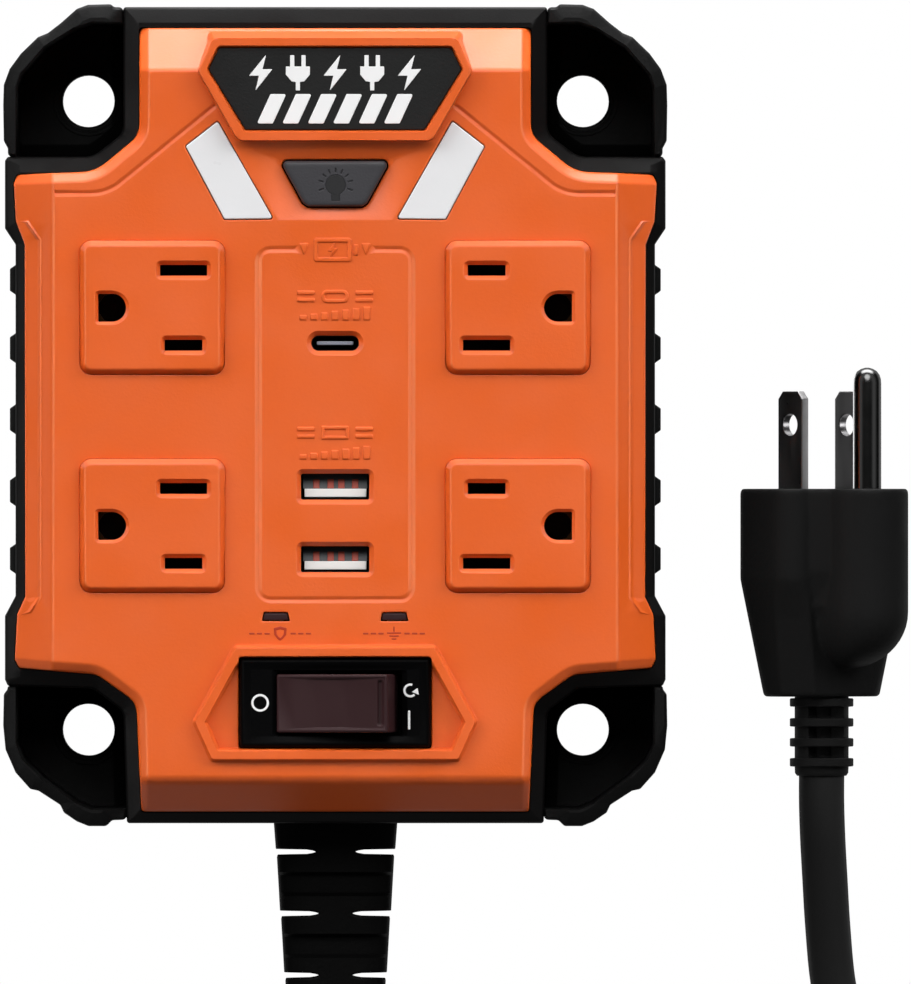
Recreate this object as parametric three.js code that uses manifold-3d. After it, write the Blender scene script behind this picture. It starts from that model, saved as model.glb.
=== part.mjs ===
// A jobsite power strip lying on its back: four grounded outlets, three USB ports, a work light with a
// push button, a rocker breaker switch, and a cord with a grounded plug lying beside the box.
// Millimetres, +Z up. The origin is on the resting surface under the middle of the box, the front face
// looks along +Z, and +Y is the long side of the box, away from the cord.
import * as THREE from "three";
import { mergeVertices } from "three/addons/utils/BufferGeometryUtils.js";
import Module from "manifold-3d";

const wasm = await Module();
wasm.setup();

// ---------- driving dimensions ----------
const GAP = 0.3; // clearance between neighbouring pieces

// Heights of the box
const BACK_Z = 0.8; // back of the housing; the rubber corners stand lower
const HOUSING_FLOOR = 2.5;
const RIM_Z = 34.5; // top of the housing's rim
const SKIRT_Z = 31; // lower edge of the cover, inside the rim
const SLOPE_Z = 35; // where the cover's sloping sides begin
const FACE_Z = 43; // flat front face
const WALL = 2.4;

// Creases where the flat face turns into the sloping sides, and the sloping sides' outer feet
const CREASE_X = 47.9;
const CREASE_TOP = 58.5;
const CREASE_BOTTOM = -61.4;
const FOOT_X = 54.6;
const FOOT_TOP = 65.7;
const FOOT_BOTTOM = -67.3;

// Left half outlines, from the top middle round to the bottom middle
const COVER_HALF = [
  [-33.2, FOOT_TOP], [-33.2, 47.5], [-40.7, 41.3], [-54.0, 40.8], [-54.6, 39.3], [-54.2, 32.8],
  [-52.7, 28.9], [-52.6, -30.9], [-54.0, -33.8], [-54.4, -41.5], [-53.7, -42.9], [-40.4, -44.0],
  [-33.9, -48.6], [-33.2, -51.0], [-32.9, FOOT_BOTTOM],
];
const HOLLOW_HALF = [
  [-30.8, 63.3], [-30.8, 46.4], [-39.7, 38.9], [-51.6, 38.4], [-51.6, 33.2], [-50.2, 29.2],
  [-50.2, -31.3], [-51.6, -34.3], [-51.7, -40.6], [-39.6, -41.6], [-31.6, -47.4], [-30.8, -50.3],
  [-30.5, -64.9],
];
const HOUSING_HALF = [
  [-36.0, 69.3], [-36.0, 47.9], [-41.2, 43.9], [-55.6, 43.9], [-56.1, 43.2], [-56.1, 31.7],
  [-54.3, 29.0], [-54.3, -30.7], [-56.1, -34.1], [-56.1, -44.9], [-55.6, -46.0], [-41.2, -46.4],
  [-36.4, -49.8], [-35.6, -51.8], [-35.4, -69.3],
];

// Rubber corners: outline of the left ones and of the pocket inside the rim
const UPPER_CORNER = [
  [-36.3, 69.3], [-37.6, 69.3], [-38.1, 69.8], [-42.0, 69.7], [-43.9, 69.0], [-46.6, 66.6],
  [-48.8, 64.9], [-50.5, 64.2], [-53.4, 61.4], [-55.3, 58.8], [-56.3, 56.1], [-56.4, 52.7],
  [-56.3, 46.6], [-55.6, 45.3], [-55.6, 44.2], [-41.3, 44.2], [-36.3, 48.2],
];
const UPPER_POCKET = [
  [-35.0, 66.5], [-41.2, 66.7], [-44.3, 65.7], [-49.3, 62.6], [-53.4, 57.9], [-54.1, 55.8],
  [-54.1, 43.0], [-35.0, 43.0],
];
const LOWER_CORNER = [
  [-35.7, -68.7], [-37.9, -68.8], [-38.9, -69.8], [-41.9, -69.8], [-43.9, -69.0], [-46.1, -67.5],
  [-46.7, -66.2], [-50.4, -63.8], [-51.8, -63.5], [-54.3, -60.7], [-56.0, -56.8], [-56.4, -52.7],
  [-56.3, -47.4], [-55.7, -46.6], [-55.6, -46.3], [-41.3, -46.7], [-36.7, -49.9], [-35.9, -51.9],
];
const LOWER_POCKET = [
  [-34.5, -66.7], [-41.2, -66.9], [-43.6, -66.0], [-49.3, -62.0], [-53.0, -58.5], [-54.1, -55.8],
  [-54.1, -45.0], [-34.5, -45.0],
];
const HOLE_X = 42.1;
const HOLE_Y = 53.6;
const HOLE_R = 4.25;
const POCKET_Z = 9; // floor of the corner pockets

// Ribbed rubber strips on the long sides
const GRIP_RIB_Y = [23.0, 11.4, -0.7, -12.9, -24.4];
const GRIP_RIB_LENGTH = 5.1;
const GRIP_X = [53.1, 54.3, 55.3]; // back, base face and rib face
const GRIP_Z = [3, 30];

// Outlets: rounded squares with slots turned a quarter turn
const OUTLET_X = 31;
const OUTLET_ROWS = [18.2, -18.8];
const OUTLET_SIZE = [24.4, 22.7];
const OUTLET_PROUD = 1.3;
const SLOT_X = 5.3; // slots, from the outlet's centre
const SLOT_Y = 6.35;
const SLOT_LONG = 8.0;
const SLOT_SHORT = 6.4;
const SLOT_WIDTH = 1.9;
const GROUND_X = -6.8;
const GROUND_R = 2.375;

// USB ports
const USB_C = [0, 12.2];
const USB_A = [[0, -12.15], [0, -24.45]];
const USB_C_OPENING = [8.05, 2.5];
const USB_A_OPENING = [11.5, 4.3];
const USB_WALL = 0.45;
const BOARD_Z = 24; // USB board

// Badge, light lenses, light button and indicator windows
const BADGE_FRAME = [[23.2, 58.4], [20.7, 63.9], [-20.7, 63.9], [-23.2, 58.4], [-16.4, 46.6], [16.4, 46.6]];
const BADGE_PLATE = [[21.5, 58.6], [19.7, 62.3], [-19.7, 62.3], [-21.5, 58.6], [-15.2, 48.3], [15.2, 48.3]];
const LENS = [[19.85, 50.0], [25.5, 45.6], [18.8, 33.05], [10.3, 33.15]];
const BUTTON = [[-8.7, 43.3], [8.7, 43.3], [9.1, 42.2], [5.6, 35.8], [4.7, 35.15], [-4.7, 35.15], [-5.6, 35.8],
  [-9.1, 42.2]];
const BUTTON_TRAVEL = 0.8;
const INDICATOR = [[7.8, -34.85], [12.3, -34.85], [12.0, -33.55], [8.1, -33.55]];

// Rocker switch
const SWITCH_FRAME = [[17.0, -39.2], [24.0, -52.0], [21.0, -58.6], [-21.0, -58.6], [-24.0, -52.0],
  [-17.0, -39.2]];
const SWITCH_BODY = [32.4, 15.2, 21];
const SWITCH_CENTRE = [0, -48.8];
const ROCKER_PIVOT = [0.45, -48.9, 39.7];
const ROCKER_HALF = 9.3;
const ROCKER_WIDTH = 10;
const ROCKER_OFF_TILT = 12; // degrees, the left end down
const PIN_R = 1.1;

// Cord, its relief at the box, its coil and its plug
const CORD_R = 3.9;
const CORD_SIDES = 10;
const RELIEF_Z = 17;
const RELIEF_END = -116;
const RELIEF_HALF = [10.5, 7.3]; // half widths at the box and at the far end
const RELIEF_THICK = [12.4, 10.6];
const RELIEF_PITCH = 10.5;
const RELIEF_SLITS = 4;
const COIL_CENTRE = [50, -180];
const COIL_RADIUS = [34.5, 59.2];
const COIL_Z = [1.4, 17.8];
const PLUG_X = 82.8;
const PLUG_FRONT = -12.5;
const PLUG_Z = 13.4;
const PLUG_ROLL = 40; // degrees about the plug's own length
const BLADE_LENGTH = 16.3;
const GROUND_LENGTH = 20.6;

// Cord routes away from the coil, chosen by hand
const BOX_END_ROUTE = [
  [0, -116.3, 17.0], [0, -123, 16.8], [-0.4, -131, 15.2], [-1.2, -140, 12.0], [-2.2, -149, 8.8],
  [-3.3, -158, 6.5], [-4.3, -166, 5.5], [-4.9, -173, 5.3], [-5.1, -180, 5.3],
];
const PLUG_END_ROUTE = [
  [82.8, -60.95, 13.4], [82.8, -66, 13.1], [83.0, -72, 12.0], [83.4, -79, 9.9], [83.9, -87, 7.4],
  [84.8, -96.4, 5.2], [86.6, -105, 4.2], [89.2, -114, 4.1], [92.6, -124, 4.2], [96.2, -135, 5.2],
  [99.6, -145, 7.4], [102.4, -155, 10.2], [104.2, -164, 12.4], [105.0, -172, 13.4],
];

// ---------- materials ----------
function plastic(colour, roughness = 0.45, metalness = 0) {
  return new THREE.MeshStandardMaterial({ color: colour, roughness, metalness });
}
const ORANGE = plastic(0xe2622c);
const BLACK = plastic(0x1b1b1c);
const RUBBER = plastic(0x161617, 0.75);
const WHITE = plastic(0xe9e9ea, 0.35);
const SMOKE = plastic(0x33211f, 0.25);
const BOARD = plastic(0x1f5a35, 0.5);
const BRASS = plastic(0xb99a4d, 0.35, 0.9);
const STEEL = plastic(0xb4b4b2, 0.3, 0.9);

// ---------- helpers ----------
const group = new THREE.Group();

function solid(geometry) {
  const bare = geometry.clone();
  bare.deleteAttribute("normal");
  bare.deleteAttribute("uv");
  const merged = mergeVertices(bare, 1e-4);
  return new wasm.Manifold(new wasm.Mesh({
    numProp: 3,
    vertProperties: new Float32Array(merged.attributes.position.array),
    triVerts: new Uint32Array(merged.index.array),
  }));
}

function geometryOf(manifold) {
  const mesh = manifold.getMesh();
  const geometry = new THREE.BufferGeometry();
  geometry.setAttribute("position", new THREE.BufferAttribute(new Float32Array(mesh.vertProperties), 3));
  geometry.setIndex(new THREE.BufferAttribute(new Uint32Array(mesh.triVerts), 1));
  geometry.computeVertexNormals();
  return geometry;
}

function cut(base, ...tools) {
  return geometryOf(tools.reduce((left, tool) => left.subtract(solid(tool)), solid(base)));
}

function join(base, ...others) {
  return geometryOf(others.reduce((left, other) => left.add(solid(other)), solid(base)));
}

function common(first, second) {
  return geometryOf(solid(first).intersect(solid(second)));
}

function outline(points) {
  return new THREE.Shape(points.map(([x, y]) => new THREE.Vector2(x, y)));
}

function extrude(shape, low, high, curveSegments = 4) {
  const geometry = new THREE.ExtrudeGeometry(shape, { depth: high - low, bevelEnabled: false, curveSegments });
  return geometry.translate(0, 0, low);
}

function plate(points, low, high) {
  return extrude(outline(points), low, high);
}

function box(width, depth, height, x, y, z) {
  return new THREE.BoxGeometry(width, depth, height).translate(x, y, z);
}

function slab(width, depth, low, high, x, y) {
  return box(width, depth, high - low, x, y, (low + high) / 2);
}

function rod(radius, low, high, x, y, sides = 12) {
  const geometry = new THREE.CylinderGeometry(radius, radius, high - low, sides);
  return geometry.rotateX(Math.PI / 2).translate(x, y, (low + high) / 2);
}

function roundedSlab(width, depth, radius, low, high, x, y) {
  const shape = new THREE.Shape();
  const right = width / 2;
  const top = depth / 2;
  shape.moveTo(-right + radius, -top);
  shape.lineTo(right - radius, -top);
  shape.absarc(right - radius, -top + radius, radius, -Math.PI / 2, 0);
  shape.lineTo(right, top - radius);
  shape.absarc(right - radius, top - radius, radius, 0, Math.PI / 2);
  shape.lineTo(-right + radius, top);
  shape.absarc(-right + radius, top - radius, radius, Math.PI / 2, Math.PI);
  shape.lineTo(-right, -top + radius);
  shape.absarc(-right + radius, -top + radius, radius, Math.PI, Math.PI * 1.5);
  return extrude(shape, low, high, 3).translate(x, y, 0);
}

// A half outline given from top to bottom on the left, closed by its mirror image
function mirrored(half) {
  return [...half, ...half.map(([x, y]) => [-x, y]).reverse()];
}

// The outline moved outward by a distance, corners kept sharp
function offset(points, distance) {
  const turn = Math.sign(THREE.ShapeUtils.area(points.map(([x, y]) => new THREE.Vector2(x, y))));
  return points.map((point, index) => {
    const here = new THREE.Vector2(...point);
    const before = new THREE.Vector2(...points[(index + points.length - 1) % points.length]);
    const after = new THREE.Vector2(...points[(index + 1) % points.length]);
    const into = here.clone().sub(before).normalize();
    const out = after.clone().sub(here).normalize();
    const normal = new THREE.Vector2(into.y + out.y, -into.x - out.x).normalize();
    const miter = (turn * distance) / normal.dot(new THREE.Vector2(into.y, -into.x));
    return [here.x + normal.x * miter, here.y + normal.y * miter];
  });
}

function flipX(points) {
  return points.map(([x, y]) => [-x, y]).reverse();
}

function add(name, geometry, material, parent = group) {
  const mesh = new THREE.Mesh(geometry, material);
  mesh.name = name;
  parent.add(mesh);
  return mesh;
}

// ---------- rear housing ----------
const coverOutline = mirrored(COVER_HALF);
const SCREWS = [[-26.6, 56], [26.6, 56], [-26.6, -58], [26.6, -58]];
const SCREW_R = 1.5;
const SCREW_HEAD_R = 3.0;
const POST_R = 3.4;
const STANDOFFS = [[-16, -33], [16, -33], [-16, 25], [16, 25]];
const MAIN_BOARD_Z = 8;
const CONTACT_Z = 20;
const CONTACT_REST_Y = [-29, 0.5, 28.5];

function rearHousing() {
  const floor = BACK_Z + HOUSING_FLOOR;
  const shell = cut(
    plate(mirrored(HOUSING_HALF), BACK_Z, RIM_Z),
    plate(mirrored(HOLLOW_HALF), floor, SKIRT_Z),
    plate(offset(coverOutline, GAP), SKIRT_Z - GAP, RIM_Z + 1),
    ...[-1, 1].map((side) => gripBed(side)),
    slab(20.6, 8, RELIEF_Z - 6.2, RELIEF_Z + 6.2, 0, -67),
  );
  const standoffs = STANDOFFS.map(([x, y]) => rod(2, floor - 0.5, MAIN_BOARD_Z - GAP, x, y, 8));
  const rests = [-1, 1].flatMap((side) => CONTACT_REST_Y.map((y) => (
    slab(23, 2, floor - 0.5, CONTACT_Z - GAP, side * 32, y))));
  const holes = SCREWS.flatMap(([x, y]) => [
    rod(SCREW_R + GAP, BACK_Z - 1, floor + 1, x, y),
    rod(SCREW_HEAD_R + GAP, BACK_Z - 1, BACK_Z + 1.5, x, y),
  ]);
  return cut(join(shell, ...standoffs, ...rests), ...holes);
}

function gripBed(side) {
  const length = GRIP_RIB_Y[0] - GRIP_RIB_Y.at(-1) + 8;
  const middle = (GRIP_RIB_Y[0] + GRIP_RIB_Y.at(-1)) / 2;
  return slab(4, length, GRIP_Z[0] - 0.1, GRIP_Z[1] + 0.1, side * (GRIP_X[0] + 2), middle);
}

function sideGrip(side) {
  const length = GRIP_RIB_Y[0] - GRIP_RIB_Y.at(-1) + 7.4;
  const middle = (GRIP_RIB_Y[0] + GRIP_RIB_Y.at(-1)) / 2;
  const [back, base, face] = GRIP_X;
  const strip = slab(base - back - 0.1, length, ...GRIP_Z, side * (back + base + 0.1) / 2, middle);
  const ribs = GRIP_RIB_Y.map((y) => {
    const half = GRIP_RIB_LENGTH / 2;
    const inner = base - 0.3;
    const rib = [[inner, y - half], [base, y - half], [face, y - half + 0.7], [face, y + half - 0.7],
      [base, y + half], [inner, y + half]];
    return plate(side > 0 ? rib : flipX(rib), ...GRIP_Z);
  });
  return join(strip, ...ribs);
}

function cornerBumper(corner, pocket, side, holeY) {
  const turned = (points) => (side < 0 ? points : flipX(points));
  return cut(
    plate(turned(corner), 0, RIM_Z - 0.5),
    plate(turned(pocket), POCKET_Z, RIM_Z + 1),
    rod(HOLE_R, -1, POCKET_Z + 1, side * HOLE_X, holeY, 24),
  );
}

function caseScrew(x, y) {
  const profile = [[0, BACK_Z + 0.1], [2.6, BACK_Z + 0.1], [SCREW_HEAD_R, BACK_Z + 0.5],
    [SCREW_HEAD_R, BACK_Z + 1.3], [SCREW_R, BACK_Z + 1.3], [SCREW_R, 18], [0, 19.5]];
  const screw = new THREE.LatheGeometry(profile.map(([r, z]) => new THREE.Vector2(r, z)), 12);
  return screw.rotateX(Math.PI / 2).translate(x, y, 0);
}

add("rear_housing", rearHousing(), BLACK);
for (const [end, corner, pocket, y] of [
  ["upper", UPPER_CORNER, UPPER_POCKET, HOLE_Y],
  ["lower", LOWER_CORNER, LOWER_POCKET, -HOLE_Y],
]) {
  add(`corner_bumper_${end}_left`, cornerBumper(corner, pocket, -1, y), RUBBER);
  add(`corner_bumper_${end}_right`, cornerBumper(corner, pocket, 1, y), RUBBER);
}
add("side_grip_left", sideGrip(-1), RUBBER);
add("side_grip_right", sideGrip(1), RUBBER);
SCREWS.forEach(([x, y], index) => add(`case_screw_${index + 1}`, caseScrew(x, y), STEEL));

// ---------- front cover ----------
// A block whose four sides slope in towards the face, drawn in on every side by the inset
function roof(top, inset) {
  const slopeX = (FOOT_X - CREASE_X) / (FACE_Z - SLOPE_Z);
  const slopeTop = (FOOT_TOP - CREASE_TOP) / (FACE_Z - SLOPE_Z);
  const slopeBottom = (CREASE_BOTTOM - FOOT_BOTTOM) / (FACE_Z - SLOPE_Z);
  const block = new THREE.BoxGeometry(2, 2, 2);
  const points = block.attributes.position;
  for (let index = 0; index < points.count; index += 1) {
    const z = points.getZ(index) > 0 ? top : SKIRT_Z - 2;
    const fall = FACE_Z - z;
    const high = CREASE_TOP + slopeTop * fall - inset;
    const low = CREASE_BOTTOM - slopeBottom * fall + inset;
    points.setXYZ(index, points.getX(index) * (CREASE_X + slopeX * fall - inset),
      points.getY(index) > 0 ? high : low, z);
  }
  return block;
}

function frontCover() {
  const skin = common(plate(coverOutline, SKIRT_Z, FACE_Z), roof(FACE_Z, 0));
  const hollow = common(
    plate(mirrored(HOLLOW_HALF), SKIRT_Z - 1, FACE_Z),
    roof(FACE_Z - WALL, WALL * 1.2),
  );
  const shell = cut(skin, hollow);
  const posts = SCREWS.map(([x, y]) => rod(POST_R, BACK_Z + HOUSING_FLOOR + GAP, FACE_Z - 1, x, y));
  const whole = join(
    shell,
    plate(BADGE_FRAME, 37, FACE_Z + 2),
    plate(SWITCH_FRAME, FACE_Z - 1, FACE_Z + 1.3),
    ...posts,
  );
  const outlets = [-1, 1].flatMap((side) => OUTLET_ROWS.map((y) => (
    slab(OUTLET_SIZE[0] + 0.6, OUTLET_SIZE[1] + 0.6, 30, 50, side * OUTLET_X, y))));
  return cut(
    whole,
    plate(offset(BADGE_PLATE, GAP), FACE_Z + 0.6, 50),
    plate(offset(SWITCH_FRAME, -1.45), FACE_Z, 50),
    plate(LENS, 30, 50),
    plate(flipX(LENS), 30, 50),
    plate(offset(BUTTON, GAP), 30, 50),
    plate(INDICATOR, 30, 50),
    plate(flipX(INDICATOR), 30, 50),
    slab(SWITCH_BODY[0] + 0.6, SWITCH_BODY[1] + 0.6, 30, 50, ...SWITCH_CENTRE),
    ...outlets,
    roundedSlab(9.7, 4.1, 2.0, 30, 50, ...USB_C),
    ...USB_A.map(([x, y]) => slab(13.1, 5.9, 30, 50, x, y)),
    ...SCREWS.map(([x, y]) => rod(SCREW_R + GAP, 0, 22, x, y)),
  );
}

add("front_cover", frontCover(), ORANGE);
add("badge_plate", plate(BADGE_PLATE, FACE_Z + 0.9, FACE_Z + 1.7), BLACK);

// ---------- outlets and their contacts ----------
function outlet(side, y) {
  const face = FACE_Z + OUTLET_PROUD;
  const slots = [[SLOT_LONG, 1], [SLOT_SHORT, -1]].map(([length, end]) => (
    slab(length, SLOT_WIDTH, 30, 50, SLOT_X, end * SLOT_Y)));
  const groundHole = new THREE.Shape();
  groundHole.moveTo(0, GROUND_R);
  groundHole.lineTo(-GROUND_R, GROUND_R);
  groundHole.lineTo(-GROUND_R, -GROUND_R);
  groundHole.lineTo(0, -GROUND_R);
  groundHole.absarc(0, 0, GROUND_R, -Math.PI / 2, Math.PI / 2);
  const block = cut(
    join(
      roundedSlab(...OUTLET_SIZE, 2, 36, face, 0, 0),
      slab(OUTLET_SIZE[0] + 2.6, OUTLET_SIZE[1] + 2.6, 38.7, FACE_Z - WALL - GAP, 0, 0),
    ),
    ...slots,
    extrude(groundHole, 30, 50, 5).translate(GROUND_X, 0, 0),
  );
  return block.rotateZ(side < 0 ? 0 : Math.PI).translate(side * OUTLET_X, y, 0);
}

// Spring leaves either side of a blade slot, and a tab down to the strip
function contactFork(x, y, stripX) {
  const low = Math.min(x - 2.4, stripX - 0.9);
  const high = Math.max(x + 2.4, stripX + 0.9);
  return [
    slab(high - low, 3.2, CONTACT_Z, CONTACT_Z + 1.4, (low + high) / 2, y),
    slab(4.8, 0.6, CONTACT_Z + 1, 34, x, y + 1.3),
    slab(4.8, 0.6, CONTACT_Z + 1, 34, x, y - 1.3),
  ];
}

function bladeStrip(side, slotEnd, stripX) {
  const x = side * (OUTLET_X - SLOT_X);
  const ys = OUTLET_ROWS.map((row) => row - side * slotEnd * SLOT_Y);
  const bar = slab(1.8, 60, CONTACT_Z, CONTACT_Z + 1.4, side * stripX, -0.4);
  return join(bar, ...ys.flatMap((y) => contactFork(x, y, side * stripX)));
}

function groundStrip(side) {
  const stripX = side * 42;
  const x = side * (OUTLET_X - GROUND_X);
  const bar = slab(1.8, 60, CONTACT_Z, CONTACT_Z + 1.4, stripX, -0.4);
  const sockets = OUTLET_ROWS.flatMap((y) => [
    slab(6.4, 3.2, CONTACT_Z, CONTACT_Z + 1.4, side * 39.4, y),
    rod(3.2, CONTACT_Z, 34, x, y, 10),
  ]);
  const bores = OUTLET_ROWS.map((y) => rod(2.5, CONTACT_Z + 1.4, 35, x, y, 10));
  return cut(join(bar, ...sockets), ...bores);
}

for (const [sideName, side] of [["left", -1], ["right", 1]]) {
  OUTLET_ROWS.forEach((y, row) => add(`outlet_${row ? "lower" : "upper"}_${sideName}`, outlet(side, y), ORANGE));
  add(`neutral_contacts_${sideName}`, bladeStrip(side, 1, 21.8), BRASS);
  add(`line_contacts_${sideName}`, bladeStrip(side, -1, 29.8), BRASS);
  add(`ground_contacts_${sideName}`, groundStrip(side), BRASS);
}

// ---------- USB ports and circuit boards ----------
function usbCShell() {
  const outer = roundedSlab(USB_C_OPENING[0] + 0.9, USB_C_OPENING[1] + 0.9, 1.65, BOARD_Z + 1.9, FACE_Z - 0.6, 0, 0);
  const inner = roundedSlab(...USB_C_OPENING, 1.2, BOARD_Z + 5, FACE_Z, 0, 0);
  return cut(outer, inner).translate(...USB_C, 0);
}

function usbAShell([x, y]) {
  const outer = slab(USB_A_OPENING[0] + 2 * USB_WALL, USB_A_OPENING[1] + 2 * USB_WALL, BOARD_Z + 1.9,
    FACE_Z - 0.6, x, y);
  return cut(outer, slab(...USB_A_OPENING, BOARD_Z + 4, FACE_Z, x, y));
}

function usbATongue([x, y]) {
  const low = BOARD_Z + 4 + GAP;
  const tongue = slab(10.5, 1.4, low, FACE_Z - 2.5, x, y - 0.75);
  const pads = [-3.45, -1.15, 1.15, 3.45].map((padX) => (
    slab(1.0, 0.5, low, FACE_Z - 3.5, x + padX, y + 0.1)));
  return join(tongue, slab(10.9, 3.7, low, low + 2, x, y), ...pads);
}

const usbBoard = slab(24, 50, BOARD_Z, BOARD_Z + 1.6, 0, -6.5);
add("usb_board", usbBoard, BOARD);
add("usb_c_shell", usbCShell(), STEEL);
add("usb_c_tongue", slab(6.2, 0.7, BOARD_Z + 5 + GAP, FACE_Z - 1.6, ...USB_C), BLACK);
add("usb_a_shell_upper", usbAShell(USB_A[0]), STEEL);
add("usb_a_tongue_upper", usbATongue(USB_A[0]), WHITE);
add("usb_a_shell_lower", usbAShell(USB_A[1]), STEEL);
add("usb_a_tongue_lower", usbATongue(USB_A[1]), WHITE);

function lyingDisc(radius, thickness, x, y, z, sides = 16) {
  return new THREE.CylinderGeometry(radius, radius, thickness, sides).translate(x, y, z);
}

add("main_board", slab(38, 64, MAIN_BOARD_Z, MAIN_BOARD_Z + 1.6, 0, -4), BOARD);
add("usb_transformer", slab(17, 15, MAIN_BOARD_Z + 1.9, 22, -8, 13), plastic(0xd8c24a, 0.5));
[-9, 9].forEach((x, index) => {
  add(`surge_varistor_${index + 1}`, lyingDisc(5.4, 3.6, x, -18, 15.6), plastic(0x2a4f9c, 0.5));
});

// ---------- badge, light, button and indicators ----------
function lightBoard() {
  const board = slab(52, 20, 29, 30.6, 0, 41.5);
  const chips = [[15, 36], [17.5, 40.5], [20, 45]].flatMap(([x, y]) => [
    slab(3, 3, 30, 31.6, x, y),
    slab(3, 3, 30, 31.6, -x, y),
  ]);
  return join(board, ...chips);
}

function lightLens(points) {
  return join(plate(offset(points, -0.25), 39, FACE_Z + 0.2), plate(offset(points, 1), 38.6, FACE_Z - WALL - GAP));
}

function lightButton() {
  const stemLow = 36.6;
  return join(
    plate(BUTTON, 39, FACE_Z + 0.3),
    plate(offset(BUTTON, 1.2), 38.4, FACE_Z - WALL - GAP),
    rod(1.6, stemLow, 39, 0, 39.2, 10),
  );
}

function indicatorLens(points) {
  return join(plate(offset(points, -0.1), 40, FACE_Z + 0.1), plate(offset(points, 0.7), 39.4, FACE_Z - WALL - GAP));
}

add("light_board", lightBoard(), BOARD);
add("light_lens_left", lightLens(flipX(LENS)), WHITE);
add("light_lens_right", lightLens(LENS), WHITE);
add("button_switch", join(slab(6, 6, 30.9, 34.6, 0, 39.2), rod(1.4, 34, 36.6 - BUTTON_TRAVEL - 0.2, 0, 39.2, 10)), BLACK);
add("light_button", lightButton(), plastic(0x424244));
add("indicator_lens_left", indicatorLens(flipX(INDICATOR)), SMOKE);
add("indicator_lens_right", indicatorLens(INDICATOR), SMOKE);
for (const [sideName, side] of [["left", -1], ["right", 1]]) {
  add(`indicator_led_${sideName}`, rod(1.5, 26, 39, side * 10, -34.2, 8), plastic(0xbfe0bf, 0.2));
}

// ---------- rocker breaker switch ----------
function switchHousing() {
  const [width, depth, height] = SWITCH_BODY;
  const [pivotX, pivotY, pivotZ] = ROCKER_PIVOT;
  const pinBore = new THREE.CylinderGeometry(PIN_R + GAP, PIN_R + GAP, 13.4, 12).translate(pivotX, pivotY, pivotZ);
  return cut(
    slab(width, depth, FACE_Z + 1 - height, FACE_Z + 1, ...SWITCH_CENTRE),
    slab(22, ROCKER_WIDTH + 0.9, 32.5, 50, pivotX, pivotY),
    pinBore,
  );
}

function rocker() {
  const half = ROCKER_HALF;
  const profile = outline([[-half, 6], [-3, 5.5], [3, 5.5], [half, 6], [half + 0.3, -2], [4, -5], [-4, -5],
    [-half - 0.3, -2]]);
  const body = extrude(profile, -ROCKER_WIDTH / 2, ROCKER_WIDTH / 2).rotateX(Math.PI / 2);
  const bore = new THREE.CylinderGeometry(PIN_R + GAP, PIN_R + GAP, ROCKER_WIDTH + 2, 12);
  return cut(body, bore).rotateY(-THREE.MathUtils.degToRad(ROCKER_OFF_TILT)).translate(...ROCKER_PIVOT);
}

add("switch_housing", switchHousing(), BLACK);
add("rocker", rocker(), SMOKE);
add("rocker_pin", new THREE.CylinderGeometry(PIN_R, PIN_R, 13, 12).translate(...ROCKER_PIVOT), STEEL);
for (const [end, x] of [["line", -10], ["load", 10]]) {
  add(`switch_terminal_${end}`, slab(0.8, 6.3, 14.5, FACE_Z + 1 - SWITCH_BODY[2] - GAP, x, SWITCH_CENTRE[1]), BRASS);
}

// ---------- wiring inside the box ----------
function tube(points, radius, sides, steps) {
  const path = new THREE.CatmullRomCurve3(points.map((point) => new THREE.Vector3(...point)), false, "centripetal");
  const section = new THREE.Shape();
  for (let side = 0; side < sides; side += 1) {
    const angle = (side / sides) * Math.PI * 2;
    const x = radius * Math.cos(angle);
    const y = radius * Math.sin(angle);
    if (side === 0) section.moveTo(x, y);
    else section.lineTo(x, y);
  }
  return new THREE.ExtrudeGeometry(section, { steps, extrudePath: path, bevelEnabled: false });
}

const LEADS = {
  line: [[-3.4, -61.5, 17], [-4.2, -59.6, 17.4], [-8, -57, 18], [-10, -54.5, 18], [-10, -52.3, 18]],
  neutral: [[0, -61.5, 17], [-0.6, -59.2, 15.6], [-7, -52, 12], [-15, -43, 12.5], [-20.5, -36, 17], [-21.8, -31.5, 20.7]],
  ground: [[3.4, -61.5, 17], [3.2, -59.4, 15], [-3, -55, 9], [-20, -48, 8], [-35, -41, 11], [-41, -35, 18],
    [-42, -31.5, 20.7]],
};
for (const [name, points] of Object.entries(LEADS)) {
  add(`${name}_lead`, tube(points, 1.15, 6, 14), plastic(name === "ground" ? 0x2f7d3b : 0x202020));
}

// ---------- strain relief, cord and coil ----------
function strainRelief() {
  const root = -69.6;
  const half = (y) => THREE.MathUtils.mapLinear(y, root, RELIEF_END, ...RELIEF_HALF);
  const web = 3.1;
  const right = [[half(root), root]];
  for (let slit = 0; slit < RELIEF_SLITS; slit += 1) {
    const y = root - 4.7 - slit * RELIEF_PITCH;
    right.push([half(y), y + 0.48], [web + 1.5, y + 0.48], [web, y], [web + 1.5, y - 0.48], [half(y), y - 0.48]);
  }
  right.push([half(RELIEF_END), RELIEF_END]);
  const boot = plate([...right, ...flipX(right)], RELIEF_Z - 6, RELIEF_Z + 6);
  return join(boot, slab(20, 6, RELIEF_Z - 5.8, RELIEF_Z + 5.8, 0, -67), slab(25, 2, 9.5, 24.5, 0, -63.4));
}

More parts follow.
